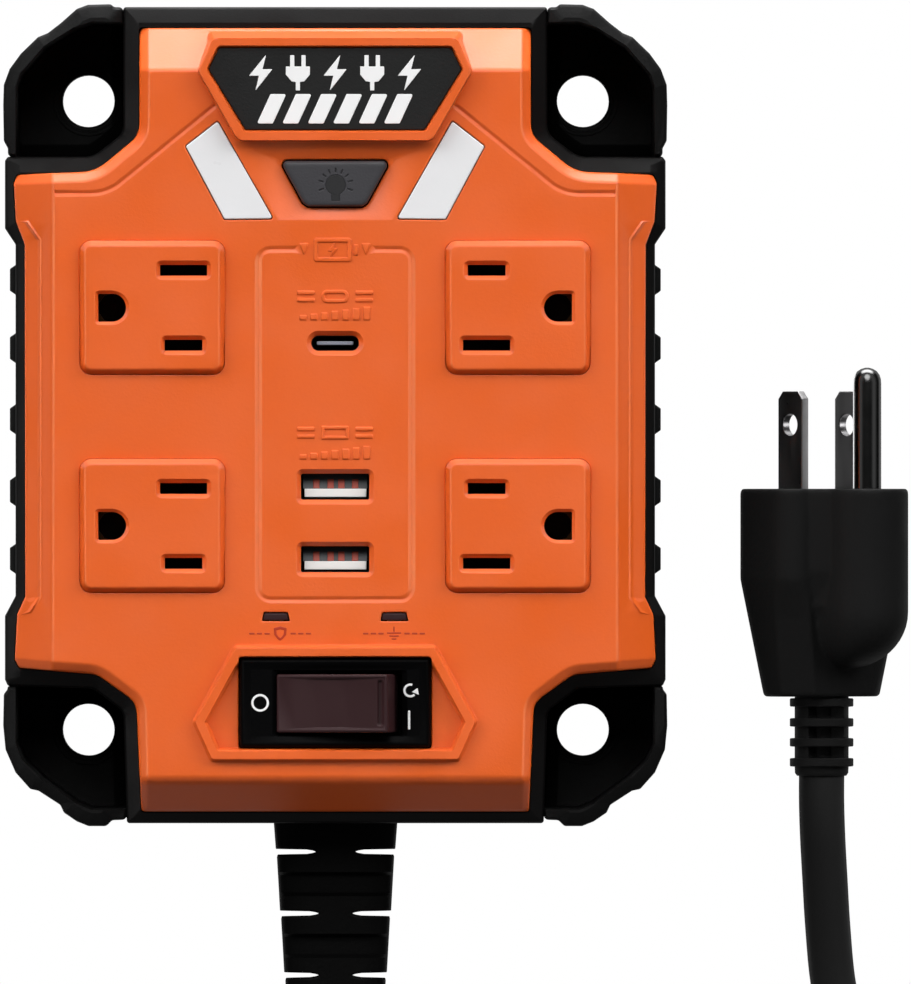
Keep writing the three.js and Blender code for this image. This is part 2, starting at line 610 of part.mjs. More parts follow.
function coil(inset) {
  const [inner, outer] = [COIL_RADIUS[0] - inset, COIL_RADIUS[1] + inset];
  const [low, high] = [COIL_Z[0] - inset, COIL_Z[1] + inset];
  const edge = 3;
  const profile = [
    [inner + edge, low], [outer - edge, low], [outer, low + edge], [outer, high - edge], [outer - edge, high],
    [inner + edge, high], [inner, high - edge], [inner, low + edge], [inner + edge, low],
  ];
  const ring = new THREE.LatheGeometry(profile.map(([r, z]) => new THREE.Vector2(r, z)), 40);
  return ring.rotateX(Math.PI / 2).translate(...COIL_CENTRE, 0);
}

function coilTie() {
  const loop = (low, high, bottom, top, width) => slab(high - low, width, bottom, top, (low + high) / 2, 0);
  const band = cut(
    loop(COIL_RADIUS[0] - 1.9, COIL_RADIUS[1] + 1.3, 0.2, COIL_Z[1] + 1.2, 12),
    loop(COIL_RADIUS[0] - 1.1, COIL_RADIUS[1] + 0.5, 1.0, COIL_Z[1] + 0.4, 14),
  );
  return band.rotateZ(-Math.PI / 2).translate(...COIL_CENTRE, 0);
}

add("cord_strain_relief", strainRelief(), RUBBER);
add("cord_box_end", cut(tube(BOX_END_ROUTE, CORD_R, CORD_SIDES, 10), coil(GAP)), RUBBER);
add("cord_plug_end", cut(tube(PLUG_END_ROUTE, CORD_R, CORD_SIDES, 16), coil(GAP)), RUBBER);
add("cord_coil", coil(0), RUBBER);
add("coil_tie", coilTie(), BLACK);

// ---------- plug, rolled about its own length ----------
const plug = new THREE.Group();
plug.position.set(PLUG_X, PLUG_FRONT, PLUG_Z);
plug.rotation.y = THREE.MathUtils.degToRad(PLUG_ROLL);
group.add(plug);

const BLADE_SPACING = 12.7;
const GROUND_RISE = 11.9;

// A rounded section drawn back along -Y and narrowed towards the cord
function bodyPart(length, start, widthScale, heightScale, frontScale = 1) {
  const part = roundedSlab(28, 15.2, 4.2, 0, length, 0, 0).rotateX(Math.PI / 2);
  const points = part.attributes.position;
  for (let index = 0; index < points.count; index += 1) {
    const back = -points.getY(index) / length;
    const wide = THREE.MathUtils.lerp(frontScale, widthScale, back);
    const high = THREE.MathUtils.lerp(frontScale, heightScale, back);
    points.setXYZ(index, points.getX(index) * wide, points.getY(index) - start, points.getZ(index) * high);
  }
  return part;
}

function plugBody() {
  const bulge = new THREE.CapsuleGeometry(7, 30, 4, 14).translate(0, -9.5, GROUND_RISE);
  const neck = box(13, 24, GROUND_RISE, 0, -12, GROUND_RISE / 2);
  const trimmed = cut(join(bulge, neck), box(40, 40, 60, 0, 20, 0));
  const core = new THREE.CylinderGeometry(4.6, 4.6, 13.4, 12).translate(0, -41.4, 0);
  const rings = [0, 1, 2, 3].map((ring) => (
    new THREE.CylinderGeometry(5.42, 5.42, 1.4, 12).translate(0, -36.4 - ring * 3.4, 0)));
  return join(bodyPart(14.9, 0, 1, 1), bodyPart(20.5, 14.89, 0.74, 0.72), trimmed, core, ...rings);
}

function blade(x) {
  const tip = BLADE_LENGTH;
  const profile = outline([[-3.17, GAP], [3.17, GAP], [3.17, tip - 1.2], [2.0, tip], [-2.0, tip], [-3.17, tip - 1.2]]);
  const flat = cut(extrude(profile, -0.76, 0.76), rod(1.6, -2, 2, 0, tip - 6.1, 14));
  return flat.rotateY(Math.PI / 2).translate(x, 0, 0);
}

function groundPin() {
  const tip = GROUND_LENGTH;
  const profile = [[0, GAP], [2.4, GAP], [2.4, tip - 2.2], [2.1, tip - 1.1], [1.3, tip - 0.3], [0, tip]];
  return new THREE.LatheGeometry(profile.map(([r, y]) => new THREE.Vector2(r, y)), 14).translate(0, 0, GROUND_RISE);
}

add("plug_body", plugBody(), RUBBER, plug);
add("plug_blade_left", blade(-BLADE_SPACING / 2), STEEL, plug);
add("plug_blade_right", blade(BLADE_SPACING / 2), STEEL, plug);
add("plug_ground_pin", groundPin(), STEEL, plug);

export default group;
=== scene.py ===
"""A jobsite power strip lying on its back, seen from straight above, with its plug beside it.

Outlines and heights are in millimetres in the CAD frame; meshes are made in metres.
"""
import math

import bpy
import numpy as np
from mathutils import Matrix, Vector
from mathutils.geometry import delaunay_2d_cdt


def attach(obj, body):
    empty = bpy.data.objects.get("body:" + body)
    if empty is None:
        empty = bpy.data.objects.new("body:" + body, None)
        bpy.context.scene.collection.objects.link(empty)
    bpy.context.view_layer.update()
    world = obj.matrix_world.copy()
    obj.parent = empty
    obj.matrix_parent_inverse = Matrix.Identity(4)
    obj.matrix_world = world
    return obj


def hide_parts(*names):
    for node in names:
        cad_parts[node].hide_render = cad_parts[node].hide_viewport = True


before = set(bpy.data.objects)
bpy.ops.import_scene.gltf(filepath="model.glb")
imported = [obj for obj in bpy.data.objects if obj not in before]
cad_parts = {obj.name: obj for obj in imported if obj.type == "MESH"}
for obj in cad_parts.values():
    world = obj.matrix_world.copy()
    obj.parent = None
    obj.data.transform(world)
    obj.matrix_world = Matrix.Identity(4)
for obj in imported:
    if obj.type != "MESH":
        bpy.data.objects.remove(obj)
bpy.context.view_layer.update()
MM = 0.001

# ---------------------------------------------------------------- driving sizes
FACE = 43.0                           # front face of the cover
RIM = 34.5                            # top of the housing's rim
CREASE_X = 47.9                       # where the face turns into its slopes
CREASE_TOP = 58.5
CREASE_BOTTOM = -61.9
SLOPE_SIDE = 1.19                     # fall per millimetre on each slope
SLOPE_TOP = 1.11
SLOPE_BOTTOM = 1.48
OUTLET_X = 31.0
OUTLET_ROWS = (18.2, -18.8)
HOLE = (42.15, 53.6, 4.42)            # place and radius of a corner's hanging hole
PLUG = Vector((82.8, -12.5, 13.4))    # where the cord's axis meets the plug's front face
PLUG_ROLL = math.radians(40)          # how far the plug is rolled on its side
CORD_R = 3.9
BLADE_X = 6.35                        # each blade, and each blade slot, to the side of the middle
PIN_RISE = 11.9                       # the ground pin's middle above the blades' middle
VIEW_CENTRE = (20.42, -13.05)         # what the camera stands over
SIDES = (("left", -1), ("right", 1))


# ---------------------------------------------------------------- flat geometry
def mirrored(half):
    """A closed outline from its left half, given from top to bottom."""
    return list(half) + [(-x, y) for x, y in reversed(half)]


def flipped(points):
    return [(-x, y) for x, y in reversed(points)]


def area_sign(points):
    x, y = np.array(points, float).T
    return 1.0 if np.sum(x * np.roll(y, -1) - np.roll(x, -1) * y) > 0 else -1.0


def grown(points, distance):
    """The closed outline moved outward, corners kept sharp. distance is one number or one per edge."""
    p = np.array(points, float)
    count = len(p)
    steps = np.roll(p, -1, axis=0) - p
    steps /= np.linalg.norm(steps, axis=1)[:, None]
    normals = np.stack([steps[:, 1], -steps[:, 0]], axis=1) * area_sign(points)
    moves = np.broadcast_to(np.array(distance, float), (count,))
    out = []
    for i in range(count):
        n1, n2 = normals[i - 1], normals[i]
        m1, m2 = moves[i - 1], moves[i]
        cross = n1[0] * n2[1] - n1[1] * n2[0]
        if abs(cross) < 1e-4:
            out.append(p[i] + n2 * m2)
        else:
            shift = np.linalg.solve(np.array([n1, n2]), np.array([m1, m2]))
            out.append(p[i] + shift)
    return [tuple(q) for q in out]


MOST_OF_SIDE = 0.48   # a corner's arc takes at most this share of each side


def rounded(points, radius, steps):
    """The closed outline with an arc at each corner."""
    if radius < 0.02:
        return [tuple(q) for q in points]
    p = np.array(points, float)
    out = []
    for i in range(len(p)):
        here, before, after = p[i], p[i - 1], p[(i + 1) % len(p)]
        a, b = before - here, after - here
        la, lb = np.linalg.norm(a), np.linalg.norm(b)
        a, b = a / la, b / lb
        half = math.acos(max(-1.0, min(1.0, float(a @ b)))) / 2
        if half > math.radians(87):
            out.append(tuple(here))
            continue
        reach = min(radius / math.tan(half), MOST_OF_SIDE * la, MOST_OF_SIDE * lb)
        r = reach * math.tan(half)
        bisector = (a + b) / np.linalg.norm(a + b)
        centre = here + bisector * (r / math.sin(half))
        start, end = here + a * reach - centre, here + b * reach - centre
        turn = math.atan2(start[0] * end[1] - start[1] * end[0], float(start @ end))
        for k in range(steps + 1):
            t = turn * k / steps
            c, s = math.cos(t), math.sin(t)
            out.append((centre[0] + c * start[0] - s * start[1], centre[1] + s * start[0] + c * start[1]))
    return out


def softened(path, radii):
    """The open path with arcs at the corners named in radii, a radius for each corner's index."""
    out, steps = [], 6
    for i, here in enumerate(path):
        if i not in radii:
            out.append(here)
            continue
        corner, before, after = Vector(here), Vector(path[i - 1]), Vector(path[i + 1])
        a, b = (before - corner).normalized(), (after - corner).normalized()
        half = a.angle(b) / 2
        shorter = min((before - corner).length, (after - corner).length)
        reach = min(radii[i] / math.tan(half), MOST_OF_SIDE * shorter)
        start, end = corner + a * reach, corner + b * reach
        for k in range(steps + 1):
            t = k / steps
            out.append(tuple((1 - t) ** 2 * start + 2 * t * (1 - t) * corner + t * t * end))
    return out


class Outline:
    """A closed outline with rounded corners that can be drawn at any distance outside itself."""

    def __init__(self, points, radius=0.3, steps=5):
        self.points, self.radius, self.steps = points, radius, steps

    def at(self, out=0.0):
        return rounded(grown(self.points, out), max(self.radius + out, 0.0), self.steps)


def rectangle(width, height, radius, x=0.0, y=0.0, steps=5):
    w, h = width / 2, height / 2
    return Outline([(x - w, y - h), (x + w, y - h), (x + w, y + h), (x - w, y + h)], radius, steps)


def full_turn(count):
    return [2 * math.pi * k / count for k in range(count)]


def circle(radius, x, y, count=32):
    return Outline([(x + radius * math.cos(t), y + radius * math.sin(t)) for t in full_turn(count)], 0.0)


def band(path, half_width):
    """The closed outline of a stroke of even width along an open path."""
    p = np.array(path, float)
    steps = np.diff(p, axis=0)
    steps /= np.linalg.norm(steps, axis=1)[:, None]
    before = np.vstack([steps[:1], steps])
    after = np.vstack([steps, steps[-1:]])
    mean = before + after
    mean /= np.linalg.norm(mean, axis=1)[:, None]
    normals = np.stack([-mean[:, 1], mean[:, 0]], axis=1)
    stretch = half_width / np.clip(np.sum(mean * after, axis=1), 0.4, 1.0)
    left = p + normals * stretch[:, None]
    right = p - normals * stretch[:, None]
    return [tuple(q) for q in left] + [tuple(q) for q in right[::-1]]


def open_rounded(path, radius):
    """An open path with rounded inner corners."""
    first, last, steps = path[0], path[-1], 6
    inner = [q for q in rounded(path, radius, steps) if min(math.dist(q, first), math.dist(q, last)) > 1e-6]
    keep = []
    for before, here in zip(path, path[1:-1]):
        near = sorted(inner, key=lambda q: math.dist(q, here))[:steps + 1]
        keep += sorted(near, key=lambda q: math.dist(q, before))
    return [first] + keep + [last]


def path_distance(xy, path, closed=False):
    """Distance of each point from a path."""
    p = np.array(path, float)
    ends = np.roll(p, -1, axis=0) if closed else p[1:]
    starts = p if closed else p[:-1]
    best = np.full(len(xy), 1e9)
    for a, b in zip(starts, ends):
        d = b - a
        t = np.clip(((xy - a) @ d) / max(float(d @ d), 1e-12), 0, 1)
        best = np.minimum(best, np.hypot(*(xy - a - t[:, None] * d).T))
    return best


def inside(xy, polygon):
    """Whether each point lies in a closed outline."""
    p = np.array(polygon, float)
    q = np.roll(p, -1, axis=0)
    x, y = xy[:, 0], xy[:, 1]
    found = np.zeros(len(xy), bool)
    for (ax, ay), (bx, by) in zip(p, q):
        if ay == by:
            continue
        crosses = (ay > y) != (by > y)
        found ^= crosses & (x < (bx - ax) * (y - ay) / (by - ay) + ax)
    return found


def depth_in(xy, polygon):
    """Signed distance from a closed outline, positive inside."""
    distance = path_distance(xy, polygon, closed=True)
    return np.where(inside(xy, polygon), distance, -distance)


def fillet(radius, steps):
    """(distance from the edge, height) along a quarter round that meets the top face at radius."""
    turns = [math.pi / 2 * k / steps for k in range(steps + 1)]
    return [(radius * (1 - math.cos(t)), -radius * (1 - math.sin(t))) for t in turns]


GUARD = 0.12   # width of the flat border kept beside each moulded edge
S_CURVE = [(0.0, 0.0), (0.12, 0.03), (0.26, 0.17), (0.74, 0.83), (0.88, 0.97), (1.0, 1.0)]


# ---------------------------------------------------------------- moulded solids
class Relief:
    """A moulded solid seen from +Z: an outline, holes through it, and a height at each point."""

    def __init__(self, outline, base):
        self.outline = outline
        self.base = base if callable(base) else (lambda xy: np.full(len(xy), float(base)))
        self.loops, self.paths, self.holes, self.terms = [], [], [], []

    def edge(self, radius, steps=4):
        """Rounds the outer edge."""
        profile = fillet(radius, steps)
        self.loops += [self.outline.at(-d) for d in [d for d, _ in profile[1:]] + [radius + GUARD]]
        rim = self.outline.at()
        self.terms.append(lambda xy: np.interp(path_distance(xy, rim, True), *zip(*profile)))
        return self

    def ring(self, shape, profile):
        """Adds heights across an outline: profile is (distance inward, height), from outside to inside."""
        profile = sorted(profile)
        reaches = [profile[0][0] - GUARD] + [d for d, _ in profile] + [profile[-1][0] + GUARD]
        self.loops += [shape.at(-d) for d in reaches]
        line = shape.at()
        self.terms.append(lambda xy: np.interp(depth_in(xy, line), *zip(*profile)))
        return self

    def step(self, shape, height, width, start=0.0):
        """A raised or sunken area whose side is an S of that width, starting at the outline."""
        return self.ring(shape, [(start + width * t, height * h) for t, h in S_CURVE])

    def hole(self, shape, radius, steps=3, bevel=False):
        """A hole through the solid, its top edge rounded or bevelled."""
        profile = fillet(radius, steps)
        if bevel:
            profile = [(0, -1.1 * radius), (0.08 * radius, -1.04 * radius), (0.86 * radius, -0.12 * radius),
                       (radius, 0)]
        self.holes.append(shape.at())
        self.loops += [shape.at(d) for d in [d for d, _ in profile[1:]] + [radius + GUARD]]
        line = self.holes[-1]
        heights = [y for _, y in line]
        middle = (min(heights) + max(heights)) / 2
        share = (0.72, 1.2) if bevel else (1.0, 1.0)
        self.terms.append(lambda xy: np.interp(-depth_in(xy, line), *zip(*profile)) *
                          np.interp(xy[:, 1] - middle, [-0.5, 0.5], share))
        return self

    def wedge(self, points, widths, height, profile):
        """Flat walls that rise or fall from each side of a convex outline, each over its own width."""
        corners = np.array(points, float)
        sign = area_sign(points)
        sides = np.roll(corners, -1, axis=0) - corners
        normals = np.stack([-sides[:, 1], sides[:, 0]], axis=1)
        normals = normals / np.linalg.norm(sides, axis=1)[:, None] * sign
        widths = np.broadcast_to(np.array(widths, float), (len(corners),))
        rings = [grown(points, -widths * t) for t in [-0.04] + [t for t, _ in profile]]
        self.loops += rings
        self.paths += [[ring[i] for ring in rings] for i in range(len(points))]

        def term(xy):
            across = [((xy - c) @ n) / w for c, n, w in zip(corners, normals, widths)]
            share = np.clip(np.min(across, axis=0), 0, 1)
            rise = height(xy) if callable(height) else height
            return rise * np.interp(share, *zip(*profile))
        self.terms.append(term)
        return self

    def build(self, name, bottom, material):
        return mesh_object(name, [self.shell(bottom)], material)

    def shell(self, bottom):
        """The closed solid's vertices in metres and its faces; bottom is a height or a function."""
        points, edges = [], []

        def draw(line, closed=True):
            first = len(points)
            points.extend(line)
            count = len(line)
            edges.extend((first + i, first + (i + 1) % count) for i in range(count if closed else count - 1))
        rim = self.outline.at()
        draw(rim)
        for loop in self.holes + self.loops:
            draw(loop)
        for path in self.paths:
            draw(path, closed=False)
        result = delaunay_2d_cdt([Vector(q) for q in points], edges, [], 0, 1e-5)
        xy = np.array([(v.x, v.y) for v in result[0]])
        tris = np.array([f for f in result[2] if len(f) == 3])
        middles = xy[tris].mean(axis=1)
        keep = inside(middles, rim)
        for hole in self.holes:
            keep &= ~inside(middles, hole)
        tris = tris[keep]
        corners = xy[tris]
        u, v = corners[:, 1] - corners[:, 0], corners[:, 2] - corners[:, 0]
        turn = u[:, 0] * v[:, 1] - u[:, 1] * v[:, 0]
        tris = tris[np.abs(turn) > 1e-9]
        turn = turn[np.abs(turn) > 1e-9]
        tris[turn < 0] = tris[turn < 0][:, ::-1]
        used, tris = np.unique(tris, return_inverse=True)
        tris = tris.reshape(-1, 3)
        xy = xy[used]
        top = self.base(xy) + sum(term(xy) for term in self.terms)
        low = bottom(xy, top) if callable(bottom) else np.full(len(xy), float(bottom))
        count = len(xy)
        verts = np.vstack([np.column_stack([xy, top]), np.column_stack([xy, low])]) * MM
        faces = [tuple(t) for t in tris] + [(t[2] + count, t[1] + count, t[0] + count) for t in tris]
        sides = {}
        for t in tris:
            for a, b in ((t[0], t[1]), (t[1], t[2]), (t[2], t[0])):
                if (b, a) in sides:
                    del sides[(b, a)]
                else:
                    sides[(a, b)] = True
        faces += [(b, a, a + count, b + count) for a, b in sides]
        return verts.tolist(), faces


SHARP_ANGLE = math.radians(38)   # edges that turn more than this stay sharp


def mesh_object(name, shells, material, place=None):
    """One object from closed shells, with sharp edges kept sharp and flat faces kept flat."""
    verts, faces = [], []
    for shell_verts, shell_faces in shells:
        first = len(verts)
        verts += [tuple(v) for v in shell_verts]
        faces += [tuple(int(i) + first for i in f) for f in shell_faces]
    mesh = bpy.data.meshes.new(name)
    mesh.from_pydata(verts, [], faces)
    mesh.validate()
    if place:
        mesh.transform(place)
    mesh.polygons.foreach_set("use_smooth", [True] * len(mesh.polygons))
    mesh.set_sharp_from_angle(angle=SHARP_ANGLE)
    obj = bpy.data.objects.new(name, mesh)
    bpy.context.scene.collection.objects.link(obj)
    mesh.materials.append(material)
    shade = obj.modifiers.new("flat_faces", "WEIGHTED_NORMAL")
    shade.keep_sharp = True
    return obj


def piece(obj, body, slot, *nodes):
    """Rides on a body and stands for the CAD nodes it replaces; the slot is not used."""
    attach(obj, body)
    if nodes:
        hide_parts(*nodes)
    return obj


# ---------------------------------------------------------------- finishes
def node(tree, kind, **settings):
    """A new shader node with its inputs and properties set by name."""
    made = tree.nodes.new(kind)
    for key, value in settings.items():
        if key in made.inputs:
            made.inputs[key].default_value = value
        else:
            setattr(made, key, value)
    return made


MOTTLE_SIZE = 0.012   # metres from one patch of colour or gloss to the next
GLOSS_SPREAD = 0.08   # how far the roughness wanders to each side


def finish(name, colour, rough, grain=0.00035, bump=0.00001, mottle=0.06, metal=0.0, specular=0.5,
           brushed=None):
    """A moulded or metal finish: fine grain in the bump, slow changes in colour and gloss."""
    material = bpy.data.materials.new(name)
    material.use_nodes = True
    tree = material.node_tree
    link = tree.links.new
    shader = tree.nodes["Principled BSDF"]
    shader.inputs["Metallic"].default_value = metal
    shader.inputs["Specular IOR Level"].default_value = specular
    place = tree.nodes.new("ShaderNodeTexCoord").outputs["Object"]
    if brushed:
        stretch = node(tree, "ShaderNodeMapping", Scale=brushed)
        link(place, stretch.inputs["Vector"])
        place = stretch.outputs["Vector"]
    slow = node(tree, "ShaderNodeTexNoise", Scale=1 / MOTTLE_SIZE, Detail=4.0, Roughness=0.6)
    fine = node(tree, "ShaderNodeTexNoise", Scale=1 / grain, Detail=3.0, Roughness=0.55)
    for noise in (slow, fine):
        link(place, noise.inputs["Vector"])
    tint = node(tree, "ShaderNodeMix", data_type="RGBA")
    tint.inputs[6].default_value = (*[c * (1 - mottle) for c in colour], 1)
    tint.inputs[7].default_value = (*[min(1, c * (1 + mottle)) for c in colour], 1)
    link(slow.outputs["Fac"], tint.inputs[0])
    link(tint.outputs[2], shader.inputs["Base Color"])
    gloss = node(tree, "ShaderNodeMapRange", **{
        "From Min": 0.3, "From Max": 0.7, "To Min": max(0.02, rough - GLOSS_SPREAD),
        "To Max": min(1.0, rough + GLOSS_SPREAD)})
    link(slow.outputs["Fac"], gloss.inputs["Value"])
    link(gloss.outputs["Result"], shader.inputs["Roughness"])
    relief = node(tree, "ShaderNodeBump", Strength=1.0, Distance=bump)
    link(fine.outputs["Fac"], relief.inputs["Height"])
    link(relief.outputs["Normal"], shader.inputs["Normal"])
    return material


STEEL = {"metal": 1.0, "grain": 0.0004, "bump": 0.000006, "mottle": 0.05}
CORD_SKIN = {"grain": 0.0007, "bump": 0.00004}
ORANGE = finish("orange_moulding", (0.765, 0.112, 0.012), 0.40, grain=0.0005, bump=0.000022, mottle=0.05)
HOUSING_BLACK = finish("housing_black", (0.0022, 0.0020, 0.0020), 0.52, bump=0.00003, mottle=0.15,
                       specular=0.18)
RUBBER = finish("bumper_rubber", (0.0020, 0.0020, 0.0020), 0.58, grain=0.0006, bump=0.00005, mottle=0.2,
                specular=0.2)
BADGE_BLACK = finish("badge_black", (0.0045, 0.0046, 0.0046), 0.5, grain=0.0004, bump=0.00003, mottle=0.1)
# Darker grey for the hollow of the button's pressed lamp sign: painted shade.
SIGN_SHADE_GREY = finish("sign_shade_grey", (0.018, 0.018, 0.019), 0.5, mottle=0.1)
PRINT_WHITE = finish("print_white", (0.86, 0.86, 0.86), 0.5, mottle=0.03)
SIGN_RED = finish("sign_red", (0.42, 0.035, 0.008), 0.5, mottle=0.06)
LENS_WHITE = finish("lens_white", (0.785, 0.785, 0.795), 0.35, grain=0.0012, bump=0.00002, mottle=0.03)
BUTTON_GREY = finish("button_grey", (0.042, 0.041, 0.046), 0.5, grain=0.0004, bump=0.00004, mottle=0.1)
SMOKE = finish("smoke", (0.030, 0.0115, 0.013), 0.5, grain=0.0008, bump=0.00001, mottle=0.1, specular=0.3)
SWITCH_BLACK = finish("switch_black", (0.0008, 0.0008, 0.0010), 0.5, grain=0.0005, bump=0.00002, mottle=0.1,
                      specular=0.07)
# The brass is far darker than its own colour so the contacts read dark down in the outlet slots: painted
# shade.
BRASS = finish("contact_brass", (0.10, 0.065, 0.025), 0.5, metal=1.0, mottle=0.1, brushed=(1, 8, 1))
BLADE_STEEL = finish("blade_steel", (0.34, 0.335, 0.34), 0.34, brushed=(6, 1, 1), **STEEL)
PIN_STEEL = finish("pin_steel", (0.13, 0.13, 0.13), 0.2, **STEEL)
SCREW_STEEL = finish("screw_steel", (0.42, 0.42, 0.43), 0.38, metal=1.0, mottle=0.12)
BOARD_GREEN = finish("board_green", (0.01, 0.09, 0.035), 0.4, grain=0.0009, bump=0.00004, mottle=0.2)
TONGUE_GREY = finish("tongue_grey", (0.30, 0.33, 0.40), 0.4, mottle=0.05)
# Lighter than the ports' black plastic, standing in for light that the deep USB-A ports keep out: painted
# light.
PORT_BACK_LIT = finish("port_back_painted_light", (0.055, 0.058, 0.062), 0.5, mottle=0.12)
COPPER = finish("spring_copper", (0.30, 0.045, 0.025), 0.45, mottle=0.12)
TONGUE_WHITE = finish("tongue_white", (0.78, 0.78, 0.76), 0.45, mottle=0.04)
VARISTOR_BLUE = finish("varistor_blue", (0.02, 0.08, 0.32), 0.4, bump=0.00004, mottle=0.15)
TAPE_YELLOW = finish("transformer_tape", (0.62, 0.42, 0.05), 0.5, mottle=0.12)
LEAD_BLACK = finish("lead_black", (0.012, 0.012, 0.012), 0.5, mottle=0.2)
LEAD_GREEN = finish("lead_green", (0.02, 0.16, 0.04), 0.5, mottle=0.15)
PLUG_BLACK = finish("plug_black", (0.0085, 0.0085, 0.0085), 0.5, mottle=0.12, specular=0.06, **CORD_SKIN)
CORD_BLACK = finish("cord_black", (0.0140, 0.0140, 0.0140), 0.5, mottle=0.12, specular=0.10, **CORD_SKIN)
BOOT_BLACK = finish("boot_black", (0.0014, 0.0014, 0.0014), 0.55, mottle=0.2, specular=0.08, **CORD_SKIN)
TIE_BLACK = finish("tie_black", (0.015, 0.015, 0.016), 0.85, grain=0.0005, bump=0.00012, mottle=0.25)

CAD_FINISHES = {
    "usb_board": BOARD_GREEN, "main_board": BOARD_GREEN, "light_board": BOARD_GREEN,
    "usb_transformer": TAPE_YELLOW, "surge_varistor_1": VARISTOR_BLUE, "surge_varistor_2": VARISTOR_BLUE,
    "button_switch": SWITCH_BLACK, "indicator_led_left": LENS_WHITE, "indicator_led_right": LENS_WHITE,
    "rocker_pin": SWITCH_BLACK, "switch_terminal_line": BRASS, "switch_terminal_load": BRASS,
    "line_lead": LEAD_BLACK, "neutral_lead": LEAD_BLACK, "ground_lead": LEAD_GREEN,
    **{f"case_screw_{k}": SCREW_STEEL for k in (1, 2, 3, 4)},
    **{f"{pole}_contacts_{label}": BRASS for pole in ("line", "neutral", "ground") for label, _ in SIDES},
}
for name, material in CAD_FINISHES.items():
    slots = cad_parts[name].data.materials
    slots.clear()
    slots.append(material)


# ---------------------------------------------------------------- camera, light and floor
def camera():
    """Straight above, far enough away that the sides hardly show and near enough for views from the side."""
    height, view_height = 6.0, 0.1668   # metres; the second is the height of what it sees at the face
    data = bpy.data.cameras.new("camera")
    data.sensor_width = 36.0
    data.lens = data.sensor_width * (height - (FACE + 1) * MM) / view_height
    data.clip_start, data.clip_end = 0.05, 60.0
    obj = bpy.data.objects.new("camera", data)
    bpy.context.scene.collection.objects.link(obj)
    obj.location = (VIEW_CENTRE[0] * MM, VIEW_CENTRE[1] * MM, height)
    bpy.context.scene.camera = obj


def sun(name, towards, strength, angle, glint=False):
    """A broad soft light that comes from a direction; only one with glint shows in shiny surfaces."""
    data = bpy.data.lights.new(name, "SUN")
    data.energy = strength
    data.angle = math.radians(angle)
    obj = bpy.data.objects.new(name, data)
    bpy.context.scene.collection.objects.link(obj)
    place = Vector([0.5 * v for v in towards])
    obj.location = place
    obj.rotation_euler = (Vector((0, 0, 0)) - place).to_track_quat("-Z", "Y").to_euler()
    obj.visible_glossy = glint
    return obj


def surroundings():
    """A dim room, bright low beyond the far side and towards the floor; behind it all, plain white."""
    world = bpy.data.worlds.new("room")
    bpy.context.scene.world = world
    world.use_nodes = True
    tree = world.node_tree
    facing = node(tree, "ShaderNodeSeparateXYZ")
    tree.links.new(tree.nodes.new("ShaderNodeTexCoord").outputs["Generated"], facing.inputs["Vector"])

    def math_of(operation, a, b):
        made = node(tree, "ShaderNodeMath", operation=operation)
        for socket, value in zip(made.inputs, (a, b)):
            if isinstance(value, (int, float)):
                socket.default_value = value
            else:
                tree.links.new(value, socket)
        return made.outputs["Value"]

    def ramp(axis, start, stop, low=0.0, high=1.0):
        made = node(tree, "ShaderNodeMapRange", interpolation_type="SMOOTHSTEP")
        for key, value in (("From Min", start), ("From Max", stop), ("To Min", low), ("To Max", high)):
            made.inputs[key].default_value = value
        tree.links.new(facing.outputs[axis], made.inputs["Value"])
        return made.outputs["Result"]
    room = math_of("MULTIPLY", ramp("Z", 0.62, 0.85, 0.32, 0.04), ramp("Z", 0.0, 0.5, 0.05, 1.0))
    far = math_of("MULTIPLY", ramp("Y", 0.75, 0.95), ramp("Z", 0.22, -0.02, 0.0, 8.5))
    far = math_of("MULTIPLY", far, ramp("Z", -0.65, -0.35))
    below = math_of("MULTIPLY", ramp("Z", -0.2, -0.6, 0.0, 0.5), ramp("Z", -0.97, -0.8, 0.15, 1.0))
    total = math_of("ADD", math_of("ADD", room, far), below)
    tree.links.new(total, tree.nodes["Background"].inputs["Strength"])
    tree.nodes["Background"].inputs["Color"].default_value = (1, 1, 1, 1)
    paper = node(tree, "ShaderNodeBackground", Color=(1, 1, 1, 1), Strength=1.0)
    shown = node(tree, "ShaderNodeMixShader")
    tree.links.new(node(tree, "ShaderNodeLightPath").outputs["Is Camera Ray"], shown.inputs["Fac"])
    tree.links.new(tree.nodes["Background"].outputs["Background"], shown.inputs[1])
    tree.links.new(paper.outputs["Background"], shown.inputs[2])
    tree.links.new(shown.outputs["Shader"], tree.nodes["World Output"].inputs["Surface"])


def floor():
    """A white sheet under everything, bright enough by itself to read as paper white."""
    reach = 4.0
    mesh = bpy.data.meshes.new("floor")
    mesh.from_pydata([(-reach, -reach, -0.0005), (reach, -reach, -0.0005), (reach, reach, -0.0005),
                      (-reach, reach, -0.0005)], [], [(0, 1, 2, 3)])
    obj = bpy.data.objects.new("floor", mesh)
    bpy.context.scene.collection.objects.link(obj)
    material = bpy.data.materials.new("paper_white")
    material.use_nodes = True
    tree = material.node_tree
    glow = node(tree, "ShaderNodeEmission", Strength=1.0)
    tree.links.new(glow.outputs["Emission"], tree.nodes["Material Output"].inputs["Surface"])
    mesh.materials.append(material)
    obj.visible_glossy = False
    obj.visible_diffuse = False
    obj.visible_shadow = False


bpy.context.scene.view_settings.view_transform = "Standard"
camera()
sun("key", (0.0, 0.62, 0.78), 1.46, 40, glint=True)
for label, side in SIDES:
    sun(f"{label}_fill", (side * 0.75, 0.5, 0.43), 1.8, 30)
surroundings()
floor()


